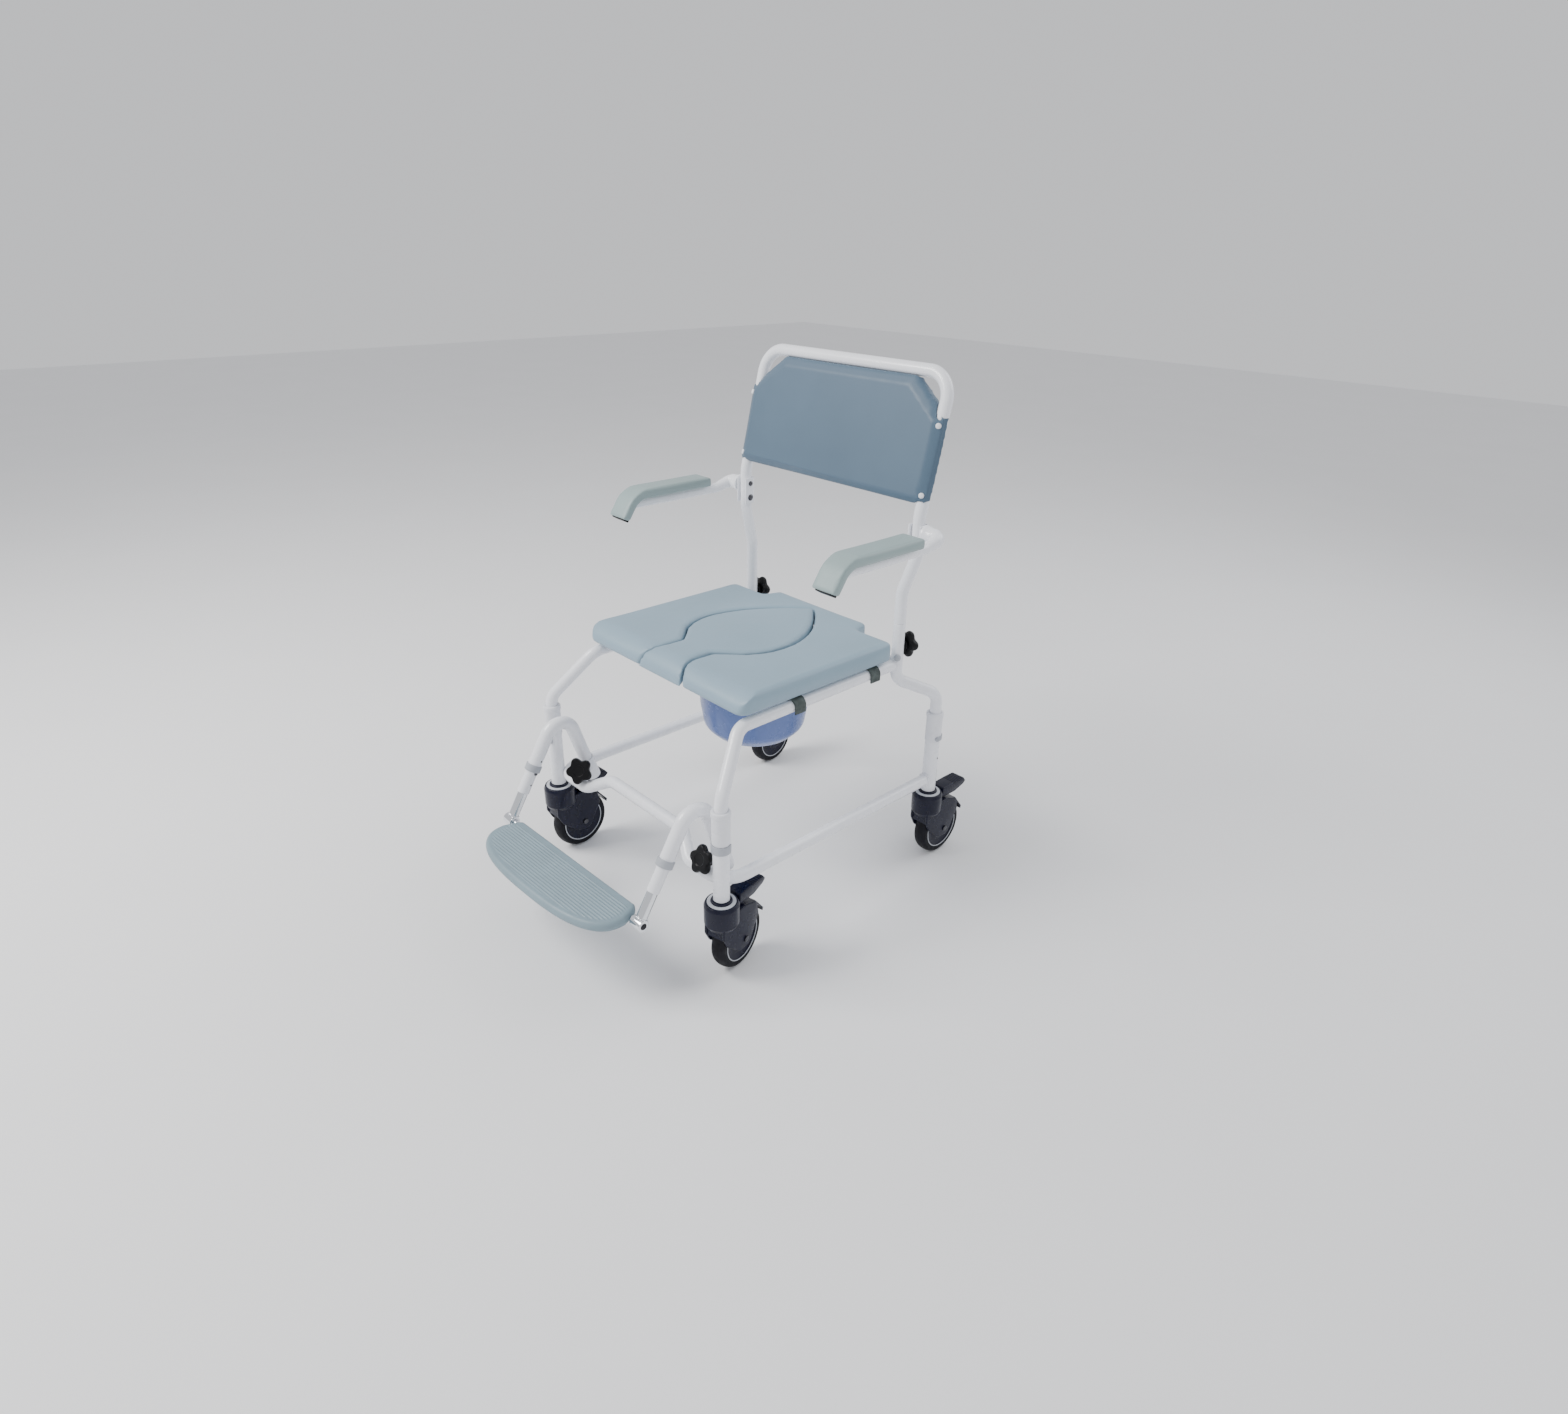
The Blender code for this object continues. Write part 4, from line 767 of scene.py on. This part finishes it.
class CHAIR_OT_seat_frame(bpy.types.Operator):
    """Telescoping side tubes, rear uprights and the cross tube between them"""

    bl_idname = "chair.seat_frame"
    bl_label = "Seat frame"

    def execute(self, context):
        sides = context.scene.chair_sizes.tube_sides
        top = top_of("rear_upright_left")
        for s, hand in SIDES:
            rail = rounded(
                [(LEG_X, 0, 0.182), (LEG_X, 0, 0.341), (0.204, 0.075, RAIL_Z),
                 (POST[0], POST[1] - 0.006, RAIL_Z)],
                [0.041, 0.036],
            )
            skin(f"seat_side_tube_{hand}", tube(rail * [s, 1, 1], FRAME_RADIUS, sides), "frame coat",
                 "seat_frame", "white_coat")
            post = rounded(
                [(LEG_X, REAR, 0.182), (LEG_X, REAR, 0.363), (*POST, 0.3965), (*POST, top)], [0.028, 0.026]
            )
            skin(f"rear_upright_{hand}", tube(post * [s, 1, 1], FRAME_RADIUS, sides), "frame coat",
                 "seat_frame", "white_coat")
            place = (s * (POST[0] + 0.0085), POST[1] - 0.0095, 0.4435)
            cap = dome(place, (s * 0.62, -0.78, 0), 0.0062, 0.0030, flange=0.0015)
            piece(f"rail_bolt_{hand}", cap, "grey plastic", "seat_frame", slot="grey_plastic")
        reach = POST[0] - 0.005
        bar = tube([(-reach, POST[1], RAIL_Z), (reach, POST[1], RAIL_Z)], 0.009, sides)
        skin("seat_cross_tube", bar, "frame coat", "seat_frame", "white_coat")
        welds = []
        for s, _ in SIDES:
            welds.append(bead((s * POST[0], POST[1] - 0.0112, RAIL_Z), (0, 1, 0), 0.0113))
            welds.append(bead((s * (POST[0] - 0.0112), POST[1], RAIL_Z), (1, 0, 0), 0.0094))
        piece("seat_frame_welds", joined(*welds), "frame coat", "seat_frame", slot="white_coat")
        return {"FINISHED"}


def back_y(z, ahead=0.0):
    """The y of a plane parallel to the leaning posts, a distance ahead of their axes."""
    return ARM_POST[1] + (z - LEAN_Z) * BACK_LEAN - ahead


class CHAIR_OT_back(bpy.types.Operator):
    """Back frame, its padded rest and the caps of the rest's screws"""

    bl_idname = "chair.back"
    bl_label = "Back"

    def execute(self, context):
        sides = context.scene.chair_sizes.tube_sides
        low = top_of("rear_upright_left") + 0.0003
        half = [(*POST, low), (*POST, 0.565), (*ARM_POST, 0.634), (*ARM_POST, LEAN_Z),
                (ARM_POST[0], *BACK_TOP)]
        path = rounded(half + [(-x, y, z) for x, y, z in half[::-1]],
                       [0.04, 0.03, 0.06, 0.045, 0.045, 0.06, 0.03, 0.04], 4)
        shapes = [tube(path, FRAME_RADIUS, sides)]
        for s, _ in SIDES:
            spigot = [(s * POST[0], POST[1], low - 0.060), (s * POST[0], POST[1], low + 0.006)]
            shapes.append(tube(spigot, 0.0092, sides))
        skin("back_frame", joined(*shapes), "frame coat", "back", "white_coat")
        pad = padded_copy("back_pad", "back skin", "back", 0.0035, 4, 0.0012)
        caps = []
        for s in (1, -1):
            for z, x in ((0.742, 0.2265), (0.853, 0.2285)):
                normal = unit([s * 0.45, -1.0, BACK_LEAN])
                caps.append(dome((s * x, back_y(z, 0.0135), z), normal, 0.0048, 0.0016, flange=0.0008))
        piece("back_pad_screws", joined(*caps), "bush plastic", "back", slot="white_plastic")
        return {"FINISHED"}


def padded_copy(node, finish, body, voxel, rounds, swell, shape=None):
    """The node's own solid, remeshed, swollen a little as cloth and smoothed into a foam skin."""
    source = frame["nodes"][node]
    mesh = source.data.copy()
    bm = bmesh.new()
    bm.from_mesh(mesh)
    bmesh.ops.remove_doubles(bm, verts=bm.verts, dist=1e-5)
    bm.to_mesh(mesh)
    bm.free()
    made = bpy.data.objects.new(f"{node}_skin", mesh)
    bpy.context.scene.collection.objects.link(made)
    mesh.materials.clear()
    mesh.materials.append(finish_of(finish))
    remesh = made.modifiers.new("remesh", "REMESH")
    remesh.mode = "VOXEL"
    remesh.voxel_size = voxel
    apply_modifiers(made)
    swell_as_cloth(made, swell)
    smooth = made.modifiers.new("smooth", "SMOOTH")
    smooth.factor = 0.5
    smooth.iterations = rounds
    subdivide = made.modifiers.new("subdivide", "SUBSURF")
    subdivide.levels = subdivide.render_levels = 1
    inside = made.modifiers.new("inside", "SHRINKWRAP")
    inside.target = source
    inside.wrap_mode = "INSIDE"
    inside.offset = 0.0002
    apply_modifiers(made)
    if shape:
        points = np.empty(len(made.data.vertices) * 3, np.float32)
        made.data.vertices.foreach_get("co", points)
        points = shape(points.reshape(-1, 3).astype(float))
        made.data.vertices.foreach_set("co", points.astype(np.float32).ravel())
    made.data.shade_smooth()
    settle(made, body, node)
    return made


def apply_modifiers(made):
    seen = made.evaluated_get(bpy.context.evaluated_depsgraph_get())
    mesh = bpy.data.meshes.new_from_object(seen)
    made.modifiers.clear()
    old = made.data
    made.data = mesh
    bpy.data.meshes.remove(old)


def swell_as_cloth(made, cap):
    """Draw the skin in by cap, blow it up again as cloth under pressure, then hold every point
    within cap of where it started, so that the foam stays in the space that the pad takes."""
    scene = bpy.context.scene
    shrink = made.modifiers.new("shrink", "DISPLACE")
    shrink.mid_level = 0.0
    shrink.strength = -cap
    apply_modifiers(made)
    start = np.empty(len(made.data.vertices) * 3, np.float32)
    made.data.vertices.foreach_get("co", start)
    cloth = made.modifiers.new("cloth", "CLOTH")
    cloth.settings.use_pressure = True
    cloth.settings.uniform_pressure_force = 4.0
    cloth.settings.effector_weights.gravity = 0.0
    cloth.settings.quality = 3
    cloth.point_cache.frame_start = 1
    cloth.point_cache.frame_end = 12
    for step in range(1, 13):
        scene.frame_set(step)
    apply_modifiers(made)
    end = np.empty_like(start)
    made.data.vertices.foreach_get("co", end)
    move = (end - start).reshape(-1, 3)
    length = np.linalg.norm(move, axis=1, keepdims=True)
    move *= np.minimum(1.0, cap / np.maximum(length, 1e-9))
    made.data.vertices.foreach_set("co", (start.reshape(-1, 3) + move).ravel())
    scene.frame_set(1)


class CHAIR_OT_arms(bpy.types.Operator):
    """Swing-up arm rests with their brackets, flared tubes and padded rests"""

    bl_idname = "chair.arms"
    bl_label = "Arm rests"

    def execute(self, context):
        sides = context.scene.chair_sizes.tube_sides
        for s, hand in SIDES:
            self.bracket(s, hand)
            corners = [(ARM_X, 0.222, 0.667), (ARM_X, 0.425, 0.667), (ARM_X, ARM_POST[1], ARM_Z),
                       (0.2385, ARM_POST[1], ARM_Z)]
            path = rounded(corners, [0.03, 0.014], 4)
            last_run = path[-2:-1] + np.linspace(0.25, 1, 8)[:, None] * (path[-1] - path[-2])
            path = np.concatenate([path[:-1], last_run])
            past = np.clip((path[:, 1] - 0.425) / 0.038, 0, 1) + np.clip((ARM_X - path[:, 0]) / 0.03, 0, 1)
            radius = 0.0095 + 0.0045 * np.clip(past / 1.3, 0, 1) ** 1.3
            radius = radius + 0.0028 * np.clip((past - 1.45) / 0.5, 0, 1) ** 2
            arm = tube(path * [s, 1, 1], radius, sides)
            rim = rounded([(0, 0), (0.0168, 0), (0.0168, 0.0034), (0.0150, 0.0045), (0, 0.0045)], 0.0008, 22)
            rim = turned(rim, (s * 0.2375, ARM_POST[1], ARM_Z), (s, 0, 0), 56)
            skin(f"arm_tube_{hand}", joined(arm, rim), "frame coat", f"arm_{hand}", "white_coat")
            pad = padded_copy(f"arm_pad_{hand}", "arm skin", f"arm_{hand}", 0.0026, 5, 0.0008)
            plug = rounded(
                [(0.1835, 0.6460), (0.1975, 0.6375), (0.2035, 0.6460), (0.1900, 0.6540)], 0.0015, 20, True
            )
            plug = slab(plug, -0.0165, 0.0165, 0.0012, ACROSS)
            piece(f"arm_plug_{hand}", moved(plug, [s * ARM_X, 0, 0]), "knob plastic", f"arm_{hand}",
                  slot="black_plastic")
        return {"FINISHED"}

    def bracket(self, s, hand):
        inner, outer = 0.01115, 0.0135
        front, rear = ARM_POST[1] - 0.012, ARM_POST[1] + outer
        channel = rounded(
            [(-outer, front), (-inner, front), (-inner, rear - 0.0024), (inner, rear - 0.0024), (inner, front),
             (outer, front), (outer, rear), (-outer, rear)],
            [0.0005, 0.0005, 0.006, 0.006, 0.0005, 0.0005, 0.008, 0.008], 12, closed=True,
        )
        wall = slab(channel, bottom_of(f"arm_bracket_{hand}"), top_of(f"arm_bracket_{hand}"), 0.0004)
        wall = moved(wall, [s * ARM_POST[0], 0, 0])
        pin = tube([(s * 0.2355, ARM_POST[1], ARM_Z), (s * 0.2565, ARM_POST[1], ARM_Z)], 0.005, 24)
        skin(f"arm_bracket_{hand}", joined(wall, pin), "frame coat", "back", "white_coat")
        bolts = []
        for way in (1, -1):
            at = np.array([s * ARM_POST[0] + way * outer, ARM_POST[1], 0.653])
            bolts.append(turned(rounded([(0, 0), (0.0064, 0), (0.0064, 0.0008), (0, 0.0008)], 0.0002, 30), at,
                                (way, 0, 0), 32))
            bolts.append(dome(at, (way, 0, 0), 0.0052, 0.0028, flange=0.0006))
        at = np.array([s * (ARM_POST[0] - outer), ARM_POST[1], 0.681])
        bolts.append(dome(at, (-s, 0, 0), 0.0050, 0.0026, flange=0.0006))
        piece(f"arm_bolts_{hand}", joined(*bolts), "bolt steel", "back", slot="chrome")


# Seat --------------------------------------------------------------------------------------------

class CHAIR_OT_seat(bpy.types.Operator):
    """Padded seat, its lift-out infill, the rail clips, the pan and its guide"""

    bl_idname = "chair.seat"
    bl_label = "Seat"

    def execute(self, context):
        voxel = context.scene.chair_sizes.skin_voxel
        for node, body, shape in (("seat_pad", "seat", None), ("seat_infill", "infill", self.crown)):
            pad = padded_copy(node, "seat skin", body, voxel, 4, 0.0013, shape)
        for end, hand, s, _ in CORNERS:
            node = f"seat_clip_{end}_{hand}"
            centre = middle(node) - LINE
            a = np.radians(np.linspace(0, 180, 25))
            arc = np.stack([np.cos(a), np.sin(a)], -1)
            legs = np.array([[0.0143, -0.0112], [0.0115, -0.0112]])
            outer, inner = arc * 0.0145, arc[::-1] * 0.0115
            outer[:, 1] = np.minimum(outer[:, 1], 0.0158)
            mirrored = legs * [-1, 1]
            outline = np.concatenate([legs[:1], outer, mirrored[:1], mirrored[1:], inner, legs[1:]])
            clip = slab(outline, -0.012, 0.012, 0.0006, ((1, 0, 0), (0, 0, 1), (0, -1, 0)))
            skin(node, moved(clip, [centre[0], centre[1], RAIL_Z]), "clip rubber", "seat", "clip_rubber")
        self.pan()
        guide = frame["nodes"]["pan_guide"]
        for spot in guide.material_slots:
            spot.material = finish_of("bush plastic")
        return {"FINISHED"}

    def crown(self, points):
        """The infill's top raised in a low dome: a squared cosine of the distance from its middle
        line, and its left edge drawn in so that the seam on that side stands open."""
        low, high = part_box("seat_infill")
        half = (high[0] - low[0]) / 2
        across = np.clip(points[:, 0] / half, -1, 1)
        upper = np.clip((points[:, 2] - low[2]) / (high[2] - low[2]), 0, 1)
        points[:, 2] += 0.0018 * upper * np.cos(across * np.pi / 2) ** 2
        points[:, 0] -= 0.0006 * np.clip(across * 3, 0, 1) + 0.0009 * np.clip(-across * 3, 0, 1)
        return points

    def pan(self):
        """A deep round bowl with a rolled rim, spun round its own axis."""
        rim, low = top_of("commode_pan"), bottom_of("commode_pan")
        outer = rounded(
            [(0, low), (0.0745, low), (0.0955, low + 0.020), (0.1022, low + 0.060), (0.1058, rim - 0.0032),
             (0.1176, rim - 0.0030)],
            [0.012, 0.026, 0.050, 0.0015], 8,
        )
        lip = [(0.1180, rim - 0.0010), (0.1174, rim)]
        inner = rounded(
            [(0.1038, rim), (0.1000, low + 0.060), (0.0935, low + 0.021), (0.0735, low + 0.0024),
             (0, low + 0.0024)],
            [0.050, 0.026, 0.012], 8,
        )
        profile = np.concatenate([outer, np.array(lip), inner])
        y = float(middle("commode_pan")[1] - LINE[1])
        skin("commode_pan", turned(profile, (0, y, 0), sides=112), "pan plastic", "pan", "pan_plastic")


# Footrest ----------------------------------------------------------------------------------------

class CHAIR_OT_footrest(bpy.types.Operator):
    """Gooseneck hangers, chrome drop tubes, bent rod and the ribbed footplate"""

    bl_idname = "chair.footrest"
    bl_label = "Footrest"

    def execute(self, context):
        sides = context.scene.chair_sizes.tube_sides
        down = unit(PIVOT - CROWN)
        end = CROWN + down * ((HANGER_END_Z - CROWN[2]) / down[2])
        collar = end - down * 0.046
        for s, hand in SIDES:
            flip = np.array([s, 1, 1])
            neck = tube(rounded([FOOT, CROWN, collar], [0.038], 4) * flip, 0.0125, sides)
            lower = tube(np.array([collar - down * 0.004, end]) * flip, FRAME_RADIUS, sides)
            skin(f"footrest_hanger_{hand}", joined(neck, lower), "frame coat", "footrest", "white_coat")
            ring = ring_wall(0.0105, 0.0148, -0.011, 0.002, 0.001, 20)
            ring = turned(ring, collar * flip, down * flip, 56, closed=True)
            piece(f"hanger_collar_{hand}", ring, "grey plastic", "footrest", slot="grey_plastic")
            self.marks(s, hand, flip, down, collar, end)
            top = end - down * 0.080
            drop = tube(np.array([top, PIVOT]) * flip, 0.0095, sides)
            sleeve = ring_wall(0.0053, 0.0105, -0.013, 0.012, 0.0008)
            sleeve = turned(sleeve, PIVOT * flip, (s, 0, 0), 48, closed=True)
            weld = bead((PIVOT - down * 0.0098) * flip, down * flip, 0.0098, 0.0012)
            skin(f"drop_tube_{hand}", joined(drop, sleeve, weld), "chrome", "footrest_drop", "chrome")
            bolt = hex_head((PIVOT + [0.0112, 0, 0]) * flip, (s, 0, 0), 0.0052, 0.0020)
            piece(f"drop_bolt_{hand}", bolt, "shadow hole", "footrest_drop", slot="black_plastic")
        self.rod()
        self.plate()
        return {"FINISHED"}

    def marks(self, s, hand, flip, down, collar, end):
        """Spring button, and the locating holes on the tube's inner rear face drawn as near-black domes of
        painted shade.
        """
        down = down * flip
        rear = np.array([-s * 0.62, 0.5, 0.5])
        side = unit(rear - down * (rear @ down))
        button = dome(collar * flip + down * 0.004 + side * 0.0112, side, 0.0036, 0.0030)
        piece(f"spring_button_{hand}", button, "bolt steel", "footrest", slot="chrome")
        holes = [
            dome(collar * flip - down * 0.021 + side * 0.01245, side, 0.0019, 0.0004),
            dome(end * flip - down * 0.019 + side * 0.01095, side, 0.0017, 0.0004),
        ]
        piece(f"hanger_holes_{hand}", joined(*holes), "shadow hole", "footrest", slot="black_plastic")

    def rod(self):
        drop, front = 0.131, -0.150 - 0.0735
        half = [(0.204, PIVOT[1], PIVOT[2]), (0.182, PIVOT[1], PIVOT[2]), (0.168, PIVOT[1], drop),
                (0.150, PIVOT[1] - 0.008, drop), (0.130, front + 0.048, drop), (0.066, front + 0.018, drop)]
        path = rounded(half + [(-x, y, z) for x, y, z in half[::-1]],
                       [0.007, 0.008, 0.012, 0.035, 0.06, 0.06, 0.035, 0.012, 0.008, 0.007], 6)
        skin("footplate_rod", tube(path, 0.005, 24), "chrome", "foot_flap", "chrome")

    def plate(self):
        """Rows of points across a D whose front is half a superellipse.  The top is ribbed by a
        raised cosine of y, and top and underside fall to the rim along elliptical quadrants of the
        distance to the edge, which is the superellipse's value over its slope."""
        width, rear_width, rear, mid, depth, power = 0.1855, 0.173, -0.1155, -0.150, 0.0735, 2.7
        low, high, rim = bottom_of("footplate"), top_of("footplate"), 0.1465
        pitch = bpy.context.scene.chair_sizes.rib_pitch
        t = np.linspace(0, np.pi / 2, 70)
        y = np.unique(np.round(np.concatenate([
            np.linspace(rear, mid - depth, 240), mid - depth * np.sin(t) ** (2 / power),
            rear - np.linspace(0, 0.014, 20),
        ]), 6))[::-1]
        ahead = np.clip((mid - y) / depth, 0, 1)
        half = np.where(
            y > mid, rear_width + (width - rear_width) * (rear - y) / (rear - mid),
            width * np.maximum(0, 1 - ahead**power) ** (1 / power),
        )
        bite = np.clip(0.014 - (rear - y), 0, 0.014)
        half = half - (0.014 - np.sqrt(0.014**2 - bite**2))
        a = np.linspace(-1, 1, 61)
        across = np.sin(a * np.pi / 2)
        x = half[:, None] * across[None]
        yy = y[:, None] * np.ones((1, 61))
        value = 1 - (np.abs(x) / width) ** power - np.clip((mid - yy) / depth, 0, 1) ** power
        slope = np.hypot(
            power * (np.abs(x) / width) ** (power - 1) / width,
            power * np.clip((mid - yy) / depth, 0, 1) ** (power - 1) / depth,
        )
        edge = np.where(yy < mid, value / np.maximum(slope, 1.0), half[:, None] - np.abs(x))
        edge = np.maximum(0, np.minimum(edge, rear - yy))
        edge[:, 0] = edge[:, -1] = edge[0] = edge[-1] = 0
        fall = lambda r: np.sqrt(np.maximum(0, 1 - (1 - np.clip(edge / r, 0, 1)) ** 2))
        ribs = 0.0013 * (0.5 + 0.5 * np.cos(2 * np.pi * (yy - mid) / pitch)) ** 2
        fade = np.clip((edge - 0.013) / 0.003, 0, 1)
        top = rim + (high - 0.0013 - rim) * fall(0.008) + ribs * fade
        under = rim - (rim - low) * fall(0.006)
        skew = np.radians(1.8)
        shapes = []
        for z in (top, under):
            px = (x * np.cos(skew) - (yy - mid) * np.sin(skew)) - 0.001
            py = x * np.sin(skew) + (yy - mid) * np.cos(skew) + mid
            shapes.append((np.stack([px, py, z], -1).reshape(-1, 3), grid_faces(len(y), 61, wrap=False)))
        skin("footplate", joined(*shapes), "plate plastic", "foot_flap", "plate_plastic", sharp=60)


class CHAIR_OT_knobs(bpy.types.Operator):
    """Star knobs on the back frame's sockets and the hangers' sockets"""

    bl_idname = "chair.knobs"
    bl_label = "Star knobs"

    def execute(self, context):
        for s, hand in SIDES:
            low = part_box(f"back_knob_{hand}")[0]
            seat = np.array([s * POST[0], float(low[1]) - LINE[1] + 0.0028, 0.461])
            skin(f"back_knob_{hand}", self.knob(seat, (0, 1, 0), 0.005, 0.0026), "knob plastic",
                 f"turn_back_knob_{hand}", "black_plastic")
            reach = GRIPS[s] - AIM * [s, 1, 1]
            seat = AIM * [s, 1, 1] + unit(reach) * 0.0293
            neck = float(np.linalg.norm(reach)) - 0.0293 - 0.0065
            skin(f"hanger_knob_{hand}", self.knob(seat, reach, neck, 0.0095), "knob plastic",
                 f"turn_hanger_knob_{hand}", "black_plastic")
        return {"FINISHED"}

    def knob(self, seat, axis, neck, screw):
        """A domed grip whose radius swells and falls five times round, on a tapered neck and screw."""
        thick = 0.0130
        grip = rounded(
            [(0, neck), (0.0205, neck), (0.0252, neck + 0.003), (0.0260, neck + 0.0080),
             (0.0235, neck + thick), (0.0110, neck + thick + 0.0002),
             (0.0100, neck + thick - 0.0012), (0, neck + thick - 0.0014)],
            0.0028, 15,
        )
        lobes = lambda p, a: 1 - 0.24 * np.clip((p[:, :1] - 0.010) / 0.012, 0, 1) * (
            0.5 - 0.5 * np.cos(5 * a)[None]) ** 1.3
        stem = rounded([(0, -0.0001), (0.0105, 0), (0.0095, neck + 0.004), (0, neck + 0.004)], 0.0008, 20)
        thread = tube(np.array([[0, 0, -screw], [0, 0, 0.002]]), 0.004, 20)
        z = unit(axis)
        x = unit(np.cross(z, [0, 1, 0] if abs(z[1]) < 0.9 else [0, 0, 1]))
        basis = np.stack([x, np.cross(z, x), z])
        thread = (thread[0] @ basis + seat, thread[1])
        return joined(turned(grip, seat, axis, 120, lobes=lobes), turned(stem, seat, axis, 40), thread)


class CHAIR_PT_panel(bpy.types.Panel):
    """Lists every maker and the chair's colours and sizes"""

    bl_idname = "CHAIR_PT_panel"
    bl_label = "Commode chair"
    bl_space_type = "VIEW_3D"
    bl_region_type = "UI"
    bl_category = "Chair"

    def draw(self, context):
        column = self.layout.column()
        for maker in MAKERS:
            column.operator(maker.bl_idname)
        for group in (context.scene.chair_colours, context.scene.chair_sizes):
            for name in group.__annotations__:
                column.prop(group, name)


MAKERS = (
    CHAIR_OT_stage,
    CHAIR_OT_base,
    CHAIR_OT_height_locks,
    CHAIR_OT_castors,
    CHAIR_OT_seat_frame,
    CHAIR_OT_back,
    CHAIR_OT_arms,
    CHAIR_OT_seat,
    CHAIR_OT_footrest,
    CHAIR_OT_knobs,
)
CLASSES = (ChairColours, ChairSizes, *MAKERS, CHAIR_PT_panel)


def register():
    for item in CLASSES:
        bpy.utils.register_class(item)
    bpy.types.Scene.chair_colours = bpy.props.PointerProperty(type=ChairColours)
    bpy.types.Scene.chair_sizes = bpy.props.PointerProperty(type=ChairSizes)


def unregister():
    del bpy.types.Scene.chair_sizes
    del bpy.types.Scene.chair_colours
    for item in reversed(CLASSES):
        bpy.utils.unregister_class(item)


def main():
    register()
    bpy.ops.chair.stage()
    bpy.ops.chair.base()
    bpy.ops.chair.height_locks()
    bpy.ops.chair.castors()
    bpy.ops.chair.seat_frame()
    bpy.ops.chair.back()
    bpy.ops.chair.arms()
    bpy.ops.chair.seat()
    bpy.ops.chair.footrest()
    bpy.ops.chair.knobs()


if __name__ == "__main__":
    main()
